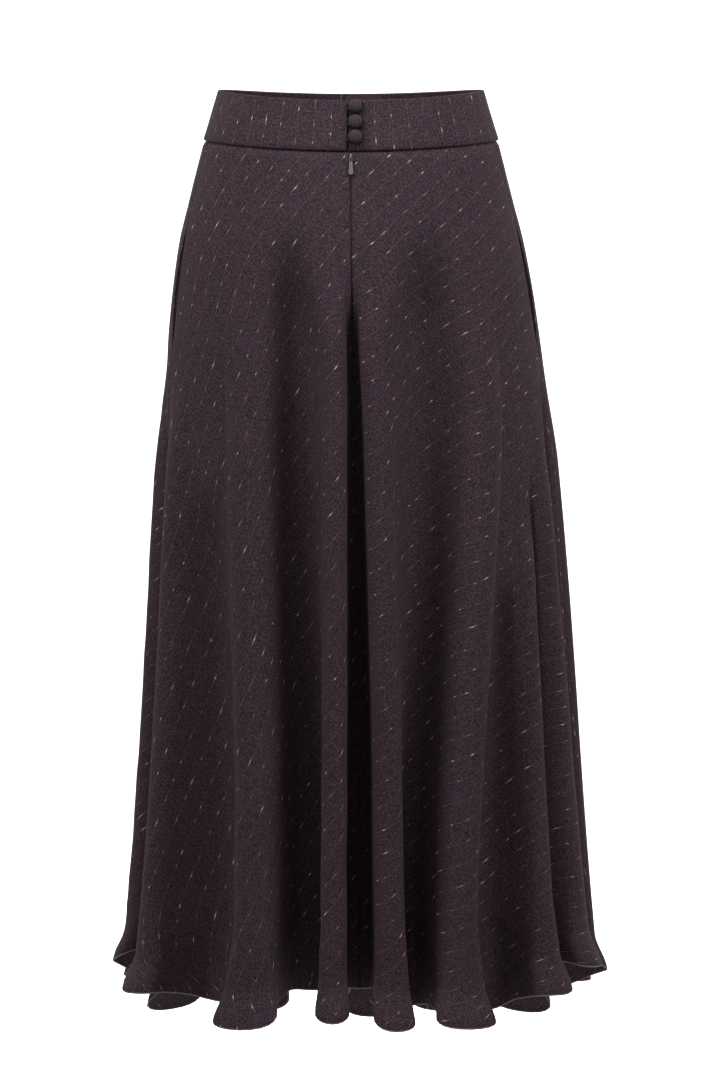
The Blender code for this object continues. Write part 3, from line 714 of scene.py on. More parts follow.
@dataclass(frozen=True)
class SkirtForm:
    """The middle surface of the panels' cloth, with its folds."""

    band: BandForm = field(default_factory=BandForm)
    fold_growth: float = 0.85
    fold_onset: float = 0.18
    valley_growth: float = 0.44
    valley_onset: float = 0.14
    overhang: float = 0.35
    hem_overhang: float = 0.9
    overhang_start: float = 0.45
    hem_crispness_start: float = 0.70
    curl_from: float = 0.35
    curl_to: float = 1.35
    bluntness: float = 0.16
    nose_settled: float = 0.25
    bell_height: float = 0.034
    bell_spread: float = 0.66
    bell_lift: float = 0.0090
    hem_fall: float = 1.5
    hem_round: float = 0.0060
    apex_above_waist: float = 0.40

    def read(self, column: str, down: np.ndarray) -> np.ndarray:
        """A column of LEVELS at these distances down, along a smooth curve through its rows.

        Args:
            column: the column's name.
            down: distances below the waist seam.

        Returns:
            One value for each distance.
        """
        place = np.array([level.down for level in LEVELS])
        value = np.array([getattr(level, column) for level in LEVELS])
        before = np.maximum(np.arange(len(place)) - 1, 0)
        after = np.minimum(np.arange(len(place)) + 1, len(place) - 1)
        slope = (value[after] - value[before]) / (place[after] - place[before])
        index = np.clip(np.searchsorted(place, down, side="left") - 1, 0, len(place) - 2)
        span = place[index + 1] - place[index]
        t = (down - place[index]) / span
        bend = (slope[index] * (1.0 - t) - slope[index + 1] * t) * span * t * (1.0 - t)
        return mix(value[index], value[index + 1], smooth(t)) + bend

    def fold_azimuth(self, index: int, down: np.ndarray) -> np.ndarray:
        """Azimuth of a fold's middle in radians, counted on round the skirt."""
        turns, place = divmod(index, len(FOLDS))
        fold = FOLDS[place]
        degrees = mix(fold.top_azimuth, fold.hem_azimuth, smooth(down / SKIRT_LENGTH))
        return np.radians(degrees) + turns * math.tau

    def fold_depth(self, index: int, down: np.ndarray) -> np.ndarray:
        """How far a fold's nose stands out from the middle ring."""
        fold = FOLDS[index % len(FOLDS)]
        share = np.maximum(0.0, (down - fold.start) / (SKIRT_LENGTH - fold.start))
        return fold.depth * share**self.fold_growth * smooth(share / self.fold_onset)

    def valley_depth(self, index: int, down: np.ndarray) -> np.ndarray:
        """How far the valley before a fold lies inside the middle ring."""
        before, fold = FOLDS[(index - 1) % len(FOLDS)], FOLDS[index % len(FOLDS)]
        share = np.maximum(0.0, (down - fold.valley_start) / (SKIRT_LENGTH - fold.valley_start))
        grown = share**self.valley_growth * smooth(share / self.valley_onset)
        return (before.depth + fold.depth) / 2.0 * fold.valley * grown

    def bell(self, down: np.ndarray) -> np.ndarray:
        """How far the hem has opened: 0 above its last centimetres, 1 at the edge."""
        return smooth((down - SKIRT_LENGTH + self.bell_height) / self.bell_height)

    def near_hem(self, down: np.ndarray, start: float) -> np.ndarray:
        """Zero down to start, 1 at the hem, and an even S between."""
        return smooth((down - start) / (SKIRT_LENGTH - start))

    def ring_speed(self, azimuth: np.ndarray, down: np.ndarray) -> np.ndarray:
        """Metres along the middle ring for each radian of azimuth."""
        return np.hypot(
            self.read("half_width", down) * np.cos(azimuth),
            self.read("half_depth", down) * np.sin(azimuth),
        )

    def nose_edges(self, index: int, down: np.ndarray) -> tuple[np.ndarray, np.ndarray]:
        """Azimuths where a fold's nose starts and ends on the middle ring."""
        fold = FOLDS[index % len(FOLDS)]
        middle = self.fold_azimuth(index, down)
        before = middle - self.fold_azimuth(index - 1, down)
        after = self.fold_azimuth(index + 1, down) - middle
        full = fold.half_width / self.ring_speed(middle, down)
        grown = np.minimum(1.0, self.fold_depth(index, down) / (self.nose_settled * fold.depth))
        return middle - mix(before / 4.0, full, grown), middle + mix(after / 4.0, full, grown)

    def ring_point(self, azimuth: Any, outward: Any, down: np.ndarray, z: Any) -> np.ndarray:
        """Points this far outside the middle ring, with X, Y and Z last."""
        half_width = self.read("half_width", down)
        half_depth = self.read("half_depth", down)
        across = half_depth * np.sin(azimuth)
        ahead = -half_width * np.cos(azimuth)
        size = np.hypot(across, ahead)
        x = self.read("centre_x", down) + half_width * np.sin(azimuth) + outward * across / size
        y = -half_depth * np.cos(azimuth) + outward * ahead / size
        return np.stack(np.broadcast_arrays(x, y, z), axis=-1)

    def hem_z(self, turns: np.ndarray) -> np.ndarray:
        """Height of the hem: low at each fold's nose, higher in the valley beside it."""
        heights = np.array([fold.hem_z for fold in FOLDS])
        rises = np.array([fold.hem_rise for fold in FOLDS])
        tilts = np.array([fold.hem_tilt for fold in FOLDS])
        valley = np.floor(turns / 2.0 + 0.5).astype(int)
        before, after = (valley - 1) % len(FOLDS), valley % len(FOLDS)
        nearest = np.where(turns < 2 * valley, before, after)
        valley_z = (heights[before] + heights[after]) / 2.0 + rises[after]
        away = np.abs(turns - 2 * valley)
        beside = np.sin(math.pi * away)
        tilted = np.where(turns < 2 * valley, 1.0, -1.0) * tilts[nearest] * beside
        low = smooth(away) ** self.hem_fall
        return mix(valley_z, heights[nearest], low) + self.hem_round * beside**2 + tilted

    def seam_z(self, azimuth: Any) -> Any:
        """Height of the skirt's upper edge, just below the waistband."""
        return self.band.middle_z(azimuth) - self.band.height / 2.0 - SEAM_GAP

    def wall(self, turns: Sequence[float], downs: Sequence[float]) -> np.ndarray:
        """The middle of the cloth.

        Args:
            turns: places round the skirt, which become columns.
            downs: distances below the waist seam, which become rows.

        Returns:
            Points by row and column, with X, Y and Z last.
        """
        turns = np.asarray(turns, float)
        down = np.asarray(downs, float)[:, None]
        points = np.zeros((len(down), len(turns), 3))
        hem = self.hem_z(turns)
        lobes = np.floor(turns + 0.5).astype(int)
        for lobe in np.unique(lobes):
            columns = lobes == lobe
            phase = (turns[columns] - lobe)[None, :] * math.pi
            is_nose = lobe % 2 == 1
            if is_nose:
                index = int(lobe - 1) // 2
                start, end = self.nose_edges(index, down)
                depth = self.fold_depth(index, down)
                fold = FOLDS[index % len(FOLDS)]
                lean = fold.lean * depth / fold.depth
                after = FOLDS[(index + 1) % len(FOLDS)]
                crisp = mix(fold.crispness, after.crispness, (np.sin(phase) + 1.0) / 2.0)
            else:
                index = int(lobe) // 2
                start, end = self.nose_edges(index - 1, down)[1], self.nose_edges(index, down)[0]
                depth = self.valley_depth(index, down)
                lean = 0.0
                crisp = FOLDS[index % len(FOLDS)].crispness
            middle = (start + end) / 2.0
            speed = self.ring_speed(middle, down)
            half = (end - start) / 2.0
            near_hem = self.near_hem(down, self.hem_crispness_start)
            steep = smooth((depth / (half * speed) - self.curl_from) / (self.curl_to - self.curl_from))
            curl = steep * mix(crisp, 1.0, near_hem)
            opened = self.bell(down) if is_nose else 0.0
            low = self.near_hem(down, self.overhang_start)
            overhang = mix(self.overhang, self.hem_overhang, low) + opened * self.bell_spread
            curled = np.sin(phase) * (1.0 + overhang * np.cos(phase) ** 2)
            azimuth = middle + half * mix(phase * 2.0 / math.pi, curled, curl)
            rise = np.maximum(0.0, np.cos(phase)) ** (1.0 - self.bluntness * steep)
            azimuth = azimuth + lean / speed * rise
            outward = (depth + opened * self.bell_lift) * rise * (1.0 if is_nose else -1.0)
            z = mix(self.seam_z(azimuth), hem[None, columns], down / SKIRT_LENGTH)
            points[:, columns] = self.ring_point(azimuth, outward, down, z)
        return points

    def cut(
        self, turns: np.ndarray, downs: np.ndarray, points: np.ndarray, grain: Grain
    ) -> np.ndarray:
        """Where each point lies in the flat cut, a sector of a ring with straight stripes.

        Args:
            turns: the columns' places round the skirt.
            downs: the rows' distances down.
            points: the grid's points.
            grain: how the stripes lean.

        Returns:
            Distances across and along the stripes, last.
        """
        walked = along_rows(points)
        held = np.array([np.interp(grain.turn, turns, row) for row in walked])
        radius = self.apex_above_waist + downs[:, None]
        angle = math.radians(grain.lean) + (walked - held[:, None]) / radius
        return np.stack([radius * np.sin(angle), -radius * np.cos(angle)], axis=-1)


# --------------------------------------------------------------------------------------
# Making pieces
# --------------------------------------------------------------------------------------


def deselect_all() -> None:
    """Nothing stays selected, so that an operator acts on the new piece alone."""
    for thing in bpy.context.view_layer.objects:
        thing.select_set(False)


def activate(piece: bpy.types.Object) -> None:
    """Selects one piece alone and makes it active."""
    deselect_all()
    piece.select_set(True)
    bpy.context.view_layer.objects.active = piece


def settle(piece: bpy.types.Object, place: Matrix | None = None) -> None:
    """Applies modifiers and then the place, so that the object sits at the origin.

    Args:
        piece: the object.
        place: where it goes in the row's frame, if it isn't there yet.
    """
    activate(piece)
    for modifier in list(piece.modifiers):
        bpy.ops.object.modifier_apply(modifier=modifier.name)
    if place is not None:
        piece.matrix_world = place
    bpy.ops.object.transform_apply(location=True, rotation=True, scale=True)


def finish_piece(
    piece: bpy.types.Object,
    material: bpy.types.Material,
    body: Body = Body.SKIRT,
    replaces: Iterable[str] = (),
) -> bpy.types.Object:
    """Dresses a piece and ties it to its body.

    Args:
        piece: the object.
        material: what it is made of.
        body: what it moves with.
        replaces: the CAD nodes that it stands for.

    Returns:
        The piece.
    """
    if not piece.data.materials:
        piece.data.materials.append(material)
    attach(piece, body.value)
    nodes = tuple(replaces)
    if nodes:
        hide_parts(*nodes)
    LOG.info("%s: %d faces", piece.name, len(piece.data.polygons))
    return piece


def mesh_piece(
    name: str, vertices: list[Vector], faces: list[tuple[int, ...]]
) -> bpy.types.Object:
    """A mesh object in the scene.

    Args:
        name: its name.
        vertices: its vertices.
        faces: the vertex numbers of each face.

    Returns:
        The object.
    """
    mesh = bpy.data.meshes.new(name)
    mesh.from_pydata(vertices, [], faces)
    piece = bpy.data.objects.new(name, mesh)
    bpy.context.scene.collection.objects.link(piece)
    return piece


def grid_faces(rows: int, columns: int, closed: bool = False) -> np.ndarray:
    """Faces of a grid of vertices.

    Args:
        rows: how many rows of vertices.
        columns: how many columns.
        closed: whether the last row joins the first.

    Returns:
        Four vertex numbers for each face.
    """
    across = np.arange(columns - 1)
    down = np.arange(rows if closed else rows - 1)[:, None]
    here = down * columns + across
    below = (down + 1) % rows * columns + across
    return np.stack([here, below, below + 1, here + 1], axis=-1).reshape(-1, 4)


@dataclass
class Shell:
    """A thin closed wall of cloth round a grid of middle points, with rounded lips."""

    name: str
    middles: np.ndarray
    cut: np.ndarray
    thickness: float
    lip: float = 0.0005

    def sections(self) -> tuple[np.ndarray, np.ndarray]:
        """The wall as one closed loop of rows: down the outside and up the inside."""
        normals = normals_of(self.middles)
        outer = self.middles + normals * (self.thickness / 2.0)
        inner = self.middles - normals * (self.thickness / 2.0)
        top = self.middles[0] - self.stretch(self.middles[1] - self.middles[0])
        foot = self.middles[-1] + self.stretch(self.middles[-1] - self.middles[-2])
        points = np.concatenate([top[None], outer, foot[None], inner[::-1]])
        cut = np.concatenate([self.cut[:1], self.cut, self.cut[-1:], self.cut[::-1]])
        return points, cut

    def stretch(self, along: np.ndarray) -> np.ndarray:
        """Steps of the lip's length in these directions."""
        return along / np.linalg.norm(along, axis=-1, keepdims=True) * self.lip

    def made(self, lip_rows: int = 0) -> bpy.types.Object:
        """The mesh object.

        Args:
            lip_rows: how many rows of faces beside the foot's lip take material 1, a lighter copy
                that paints a highlight along the hem's edge. Where there are any, the inside takes
                material 2, a lighter copy that paints light on the inside faces.

        Returns:
            The object, smooth, with its place in its mesh and its cut as a UV map.
        """
        points, cut = self.sections()
        rows, columns = points.shape[:2]
        faces = [grid_faces(rows, columns, closed=True)]
        outer = np.arange(1, rows // 2)
        inner = rows + 1 - outer
        for column, turned in ((0, False), (columns - 1, True)):
            strip = [outer[:-1], inner[:-1] - 1, inner[1:] - 1, outer[1:]]
            strip = np.stack(strip, axis=-1) * columns + column
            faces.append(strip[:, ::-1] if turned else strip)
        faces = np.concatenate(faces)
        mesh = bpy.data.meshes.new(self.name)
        mesh.from_pydata(points.reshape(-1, 3).tolist(), [], faces.tolist())
        add_cut(mesh, cut.reshape(-1, 2))
        if lip_rows:
            past_foot = np.arange(rows) + 0.5 - rows / 2.0
            by_row = np.where(past_foot > 0.0, 2, 0)
            by_row[np.abs(past_foot) < lip_rows + 1.0] = 1
            index = np.repeat(by_row, columns - 1).astype(np.int32)
            index = np.concatenate([index, np.zeros(len(faces) - len(index), np.int32)])
            mesh.polygons.foreach_set("material_index", index)
        mesh.validate()
        piece = bpy.data.objects.new(self.name, mesh)
        bpy.context.scene.collection.objects.link(piece)
        close_caps(piece, math.radians(50.0))
        return piece


def add_cut(mesh: bpy.types.Mesh, places: np.ndarray) -> None:
    """Stores places in the flat cut as the UV map that the cloth's finish reads.

    Args:
        mesh: the piece's mesh.
        places: two metres for each vertex.
    """
    layer = mesh.uv_layers.new(name="cut")
    corners = np.zeros(len(mesh.loops), np.int32)
    mesh.loops.foreach_get("vertex_index", corners)
    layer.data.foreach_set("uv", places[corners].astype(np.float32).ravel())


def close_caps(piece: bpy.types.Object, sharp_angle: float) -> None:
    """Closes what is open, turns the faces outwards and shades the piece smooth.

    Args:
        piece: the object.
        sharp_angle: edges sharper than this stay sharp.
    """
    activate(piece)
    bpy.ops.object.mode_set(mode="EDIT")
    bpy.ops.mesh.select_all(action="SELECT")
    bpy.ops.mesh.remove_doubles(threshold=0.000002)
    bpy.ops.mesh.fill_holes(sides=8)
    bpy.ops.mesh.select_all(action="SELECT")
    bpy.ops.mesh.normals_make_consistent(inside=False)
    bpy.ops.object.mode_set(mode="OBJECT")
    bpy.ops.object.shade_smooth_by_angle(angle=sharp_angle)


@dataclass(frozen=True)
class Crease:
    """A soft ridge (height above 0) or trough in the cloth, besides the folds."""

    turn: float
    foot_turn: float
    start: float
    end: float
    half_width: float
    height: float


@dataclass(frozen=True)
class Relief:
    """Small unevenness of hanging cloth: long faint waves and a few creases."""

    waves: int = 10
    height: float = 0.00008
    seed: int = 11
    creases: tuple[Crease, ...] = ()
    waist_fade: float = 0.030
    seam_fade: float = 0.020

    def at(self, turns: np.ndarray, downs: np.ndarray, walked: np.ndarray) -> np.ndarray:
        """Height of the relief over the middle surface.

        Args:
            turns: the columns' places round the skirt.
            downs: the rows' distances down.
            walked: each point's distance along its row.

        Returns:
            Metres outwards, by row and column.
        """
        draw = np.random.default_rng(self.seed)
        down = downs[:, None]
        total = np.zeros_like(walked)
        for _ in range(self.waves):
            across = math.tau / draw.uniform(0.060, 0.180)
            along = math.tau / draw.uniform(0.150, 0.500)
            start = draw.uniform(0.0, math.tau)
            sign = draw.choice((-1.0, 1.0))
            total += np.sin(walked * across + sign * down * along + start)
        total *= self.height
        for crease in self.creases:
            share = (down - crease.start) / (crease.end - crease.start)
            turn = mix(crease.turn, crease.foot_turn, np.clip(share, 0.0, 1.0))
            middle = np.stack([np.interp(t, turns, row) for t, row in zip(turn[:, 0], walked)])
            fade = smooth(share * 3.0) * smooth((1.0 - share) * 3.0)
            away = (walked - middle[:, None]) / crease.half_width
            total += crease.height * fade * np.exp(-(away**2))
        return total


@dataclass(frozen=True)
class Closure:
    """How a panel's edge opens: at the zip's mouth and along a pocket's slit."""

    mouth_half_gap: float = 0.0013
    mouth_foot: float = 0.0115
    mouth_taper: float = 0.0080
    pocket_top: float = 0.080
    pocket_foot: float = 0.205
    pocket_gape: float = 0.0026
    reach: float = 0.0090
    tuck: float = 0.0029
    side_tuck: float = 0.0008
    tuck_width: float = 0.0014
    tuck_below_zip: float = 0.0125
    waist_tuck: float = 0.0030
    waist_tuck_width: float = 0.0022
    slit_lift: float = 0.0016
    slit_sink: float = 0.0018
    slit_reach: float = 0.0080

    def along_slit(self, down: np.ndarray) -> np.ndarray:
        """How far a pocket's slit is open: 0 beyond its ends and 1 at its middle."""
        share = (down - self.pocket_top) / (self.pocket_foot - self.pocket_top)
        return np.sin(math.pi * np.clip(share, 0.0, 1.0))

    def half_gap(self, seam: Seam, down: np.ndarray) -> np.ndarray:
        """Half the gap at a seam.

        Args:
            seam: which seam.
            down: distances below the waist seam.

        Returns:
            One half gap for each distance.
        """
        if seam in (Seam.LEFT_SIDE, Seam.RIGHT_SIDE):
            return SEAM_GAP / 2.0 + self.pocket_gape / 2.0 * self.along_slit(down)
        open_share = 1.0 - smooth((down - self.mouth_foot) / self.mouth_taper)
        return mix(SEAM_GAP / 2.0, self.mouth_half_gap, open_share)

    def groove(self, seam: Seam, down: np.ndarray, distance: np.ndarray) -> np.ndarray:
        """How far the cloth turns in along a seam, below the zip's slider.

        Args:
            seam: which seam.
            down: distances below the waist seam.
            distance: each point's distance from the seam.

        Returns:
            Metres inwards, by row and column.
        """
        near = np.exp(-((distance / self.tuck_width) ** 2))
        if seam in (Seam.LEFT_SIDE, Seam.RIGHT_SIDE):
            return self.side_tuck * near
        return self.tuck * near * smooth((down - self.tuck_below_zip) / self.mouth_taper)[:, None]

    def slit(
        self, seam: Seam, down: np.ndarray, distance: np.ndarray, is_front: bool
    ) -> np.ndarray:
        """How far an edge of a pocket's slit stands off: in on the front, out on the back.

        Args:
            seam: which seam.
            down: distances below the waist seam.
            distance: each point's distance from the seam.
            is_front: whether the panel is in front of the seam.

        Returns:
            Metres outwards, by row and column.
        """
        if seam in (Seam.CENTRE_FRONT, Seam.CENTRE_FRONT_AGAIN):
            return np.zeros_like(distance)
        opened = self.along_slit(down)[:, None] * (1.0 - smooth(distance / self.slit_reach))
        return opened * (-self.slit_sink if is_front else self.slit_lift)


# --------------------------------------------------------------------------------------
# The garment's sub-assemblies
# --------------------------------------------------------------------------------------


@dataclass
class Panel:
    """One panel of the skirt, between two seams, as one sheet of cloth."""

    name: str
    start: Seam
    end: Seam
    flat: tuple[float, float]
    area: float
    grain: Grain
    columns_per_turn: int = 18
    rows: int = 128
    rows_crowded: float = 0.09
    seam_columns: tuple[float, ...] = (0.012, 0.028)
    edge_rows: tuple[float, ...] = (0.0008, 0.0022)
    relief: Relief = field(default_factory=Relief)
    closure: Closure = field(default_factory=Closure)

    def turns(self) -> np.ndarray:
        """Places of the columns, closer together beside the seams."""
        start, end = self.start.value, self.end.value
        inner = np.linspace(start, end, (end - start) * self.columns_per_turn + 1)
        close = np.array(self.seam_columns)
        return np.unique(np.round(np.concatenate([inner, start + close, end - close]), 5))

    def downs(self) -> np.ndarray:
        """Places of the rows, closer together at the waist seam and at the hem."""
        share = np.linspace(0.0, 1.0, self.rows)
        eased = share - self.rows_crowded * np.sin(math.tau * share) / math.tau
        close = np.array(self.edge_rows)
        downs = np.concatenate([eased * SKIRT_LENGTH, close, SKIRT_LENGTH - close])
        return np.unique(np.round(downs, 6))

    def made(self, form: SkirtForm, finishes: Finishes) -> bpy.types.Object:
        """The panel's sheet.

        Args:
            form: the skirt's surface.
            finishes: the materials.

        Returns:
            The dressed piece.
        """
        turns, downs = self.turns(), self.downs()
        points = form.wall(turns, downs)
        cut = form.cut(turns, downs, points, self.grain)
        walked = along_rows(points)
        normals = normals_of(points)
        raised = self.relief.at(turns, downs, walked)
        raised *= smooth(downs / self.relief.waist_fade)[:, None]
        for seam, distance in ((self.start, walked), (self.end, walked[:, -1:] - walked)):
            raised *= 1.0 - np.exp(-((distance / self.relief.seam_fade) ** 2))
            raised -= self.closure.groove(seam, downs, distance)
            raised += self.closure.slit(seam, downs, distance, self.name != "skirt_back")
        waist = np.exp(-((downs / self.closure.waist_tuck_width) ** 2))[:, None]
        points = points + normals * (raised - self.closure.waist_tuck * waist)[..., None]
        along = np.gradient(points, axis=1)
        along /= np.linalg.norm(along, axis=2, keepdims=True)
        for seam, distance, sign in (
            (self.start, walked, 1.0),
            (self.end, walked[:, -1:] - walked, -1.0),
        ):
            gap = self.closure.half_gap(seam, downs)[:, None]
            fade = 1.0 - smooth(distance / self.closure.reach)
            points = points + along * (sign * gap * fade)[..., None]
        piece = Shell(self.name + "_cloth", points, cut, CLOTH_THICKNESS).made(lip_rows=1)
        # The cloth's three materials: its own, a lighter copy that paints a highlight on the hem's
        # edge, and a lighter copy that paints light on the inside faces.
        for cloth in (finishes.suiting, finishes.suiting_edge_highlight, finishes.suiting_inside_painted_light):
            piece.data.materials.append(cloth)
        finish_piece(piece, finishes.suiting, replaces=(self.name,))
        return piece


@dataclass
class Waistband:
    """The shaped waistband: one strip from its looped end round the back to its buttoned end."""

    form: BandForm = field(default_factory=BandForm)
    columns: int = 360
    face_rows: int = 10
    flat: tuple[float, float] = (0.757, 0.047)
    edge_shares: tuple[float, ...] = (0.012, 0.03, 0.97, 0.988)
    waves: int = 12
    wave_height: float = 0.00010
    end_fade: float = 0.020
    foot_tuck: float = 0.0006
    foot_tuck_share: float = 0.020
    underlap_width: float = 0.022
    underlap_top: float = 0.97
    underlap_share: float = 0.93
    underlap_thickness: float = 0.0012

    def underlap(self, finishes: Finishes) -> bpy.types.Object:
        """The buttoned end's underlap, which closes the view through the opening."""
        form = self.form
        inward = (form.thickness + self.underlap_thickness) / 2.0 + SEAM_GAP
        middle = math.asin(form.ends_x / form.top_half_width)
        shares = np.linspace(self.underlap_top, self.underlap_top - self.underlap_share, 12)
        points, cut = form.strip(middle, self.underlap_width, 24, shares, inward)
        thickness = self.underlap_thickness
        piece = Shell("waistband_underlap", points, cut, thickness, lip=0.0003).made()
        finish_piece(piece, finishes.tape)
        return piece

    def made(self, finishes: Finishes) -> bpy.types.Object:
        """The band's sheet, thicker than the panels and rounded at its rim."""
        form = self.form
        start = math.asin((form.ends_x + form.ends_gap / 2.0) / form.top_half_width)
        end = math.asin((form.ends_x - form.ends_gap / 2.0) / form.top_half_width) + math.tau
        azimuths = np.linspace(start, end, self.columns)
        shares = np.concatenate([np.linspace(0.0, 1.0, self.face_rows), self.edge_shares])
        shares = np.unique(np.round(shares, 5))[::-1]
        points = form.point(azimuths[None, :], shares[:, None])
        walked = along_rows(points[len(shares) // 2][None])[0]
        normals = form.normal(azimuths[None, :], shares[:, None])
        draw = np.random.default_rng(5)
        uneven = np.zeros((len(shares), len(azimuths)))
        for _ in range(self.waves):
            across = math.tau / draw.uniform(0.025, 0.120)
            tilt = draw.uniform(-1.5, 1.5)
            phase = draw.uniform(0.0, 6.2)
            uneven += np.sin(walked[None, :] * across + tilt * shares[:, None] + phase)
        bow = np.sin(math.pi * shares)[:, None]
        away = np.minimum(walked, walked[-1] - walked)[None, :]
        raised = uneven * self.wave_height * bow * smooth(away / self.end_fade)
        raised -= self.foot_tuck * np.exp(-((shares / self.foot_tuck_share) ** 2))[:, None]
        points = points + normals * raised[..., None]
        up = shares[:, None] * form.height
        cut = np.stack(np.broadcast_arrays(walked[None, :], up), axis=-1)
        piece = Shell("waistband_cloth", points, cut, form.thickness, lip=0.0009).made()
        finish_piece(piece, finishes.suiting, replaces=("waistband",))
        self.underlap(finishes)
        return piece


@dataclass
class Label:
    """A bare label sewn inside the back of the waistband."""

    width: float = 0.034
    height: float = 0.018
    thickness: float = 0.0008
    x: float = 0.012
    over_rim: float = 0.0008

    def made(self, band: BandForm, finishes: Finishes) -> bpy.types.Object:
        """The label's sheet, a little over the band's rim."""
        inward = (band.thickness + self.thickness) / 2.0 + SEAM_GAP
        rim = 1.0 + self.over_rim / band.height
        shares = np.linspace(rim, rim - self.height / band.height, 14)
        middle = math.pi - math.asin(self.x / band.top_half_width)
        points, cut = band.strip(middle, self.width, 30, shares, inward)
        piece = Shell("label_strip", points, cut, self.thickness, lip=0.0002).made()
        finish_piece(piece, finishes.label, replaces=("label",))
        return piece


@dataclass
class PocketBag:
    """A pocket's flat bag, hanging behind its slit and inside every fold. Each row of its
    outline is a distance down and the bag's reach from the seam there."""

    name: str
    seam: Seam
    side: int
    thickness: float = 0.0024
    clearance: float = 0.0045
    belly: float = 0.0012
    flat: tuple[float, float] = (0.132, 0.208)
    outline: tuple[tuple[float, float], ...] = (
        (0.062, 0.070),
        (0.085, 0.112),
        (0.130, 0.128),
        (0.180, 0.132),
        (0.225, 0.128),
        (0.255, 0.105),
        (0.270, 0.070),
    )

    def made(self, form: SkirtForm, finishes: Finishes) -> bpy.types.Object:
        """The bag's sheet, with a soft belly."""
        places, reaches = np.array(self.outline).T
        downs = np.linspace(places[0], places[-1], 44)
        down = downs[:, None]
        reach = np.interp(downs, places, reaches)[:, None]
        index = self.seam.value // 2
        start = form.nose_edges(index - 1, down)[1]
        end = form.nose_edges(index, down)[0]
        at_seam = (start + end) / 2.0
        share = np.linspace(0.0, 1.0, 36)[None, :]
        azimuth = at_seam - self.side * reach / form.ring_speed(at_seam, down) * share
        hem = float(form.hem_z(np.array([float(self.seam.value)]))[0])
        z = mix(form.seam_z(azimuth), hem, down / SKIRT_LENGTH)
        in_front = np.max([form.valley_depth(fold, down) for fold in range(len(FOLDS))], axis=0)
        inset = self.clearance + mix(form.valley_depth(index, down), in_front, share)
        lower = (down - places[0]) / self.flat[1]
        belly = self.belly * np.sin(math.pi * share) * np.sin(math.pi * lower)
        points = form.ring_point(azimuth, -inset - belly, down, z)
        cut = np.stack(np.broadcast_arrays(share * reach, down), axis=-1)
        if self.side > 0:
            points, cut = points[:, ::-1], cut[:, ::-1]
        piece = Shell(self.name + "_cloth", points, cut, self.thickness, lip=0.0008).made()
        finish_piece(piece, finishes.pocketing, replaces=(self.name,))
        return piece


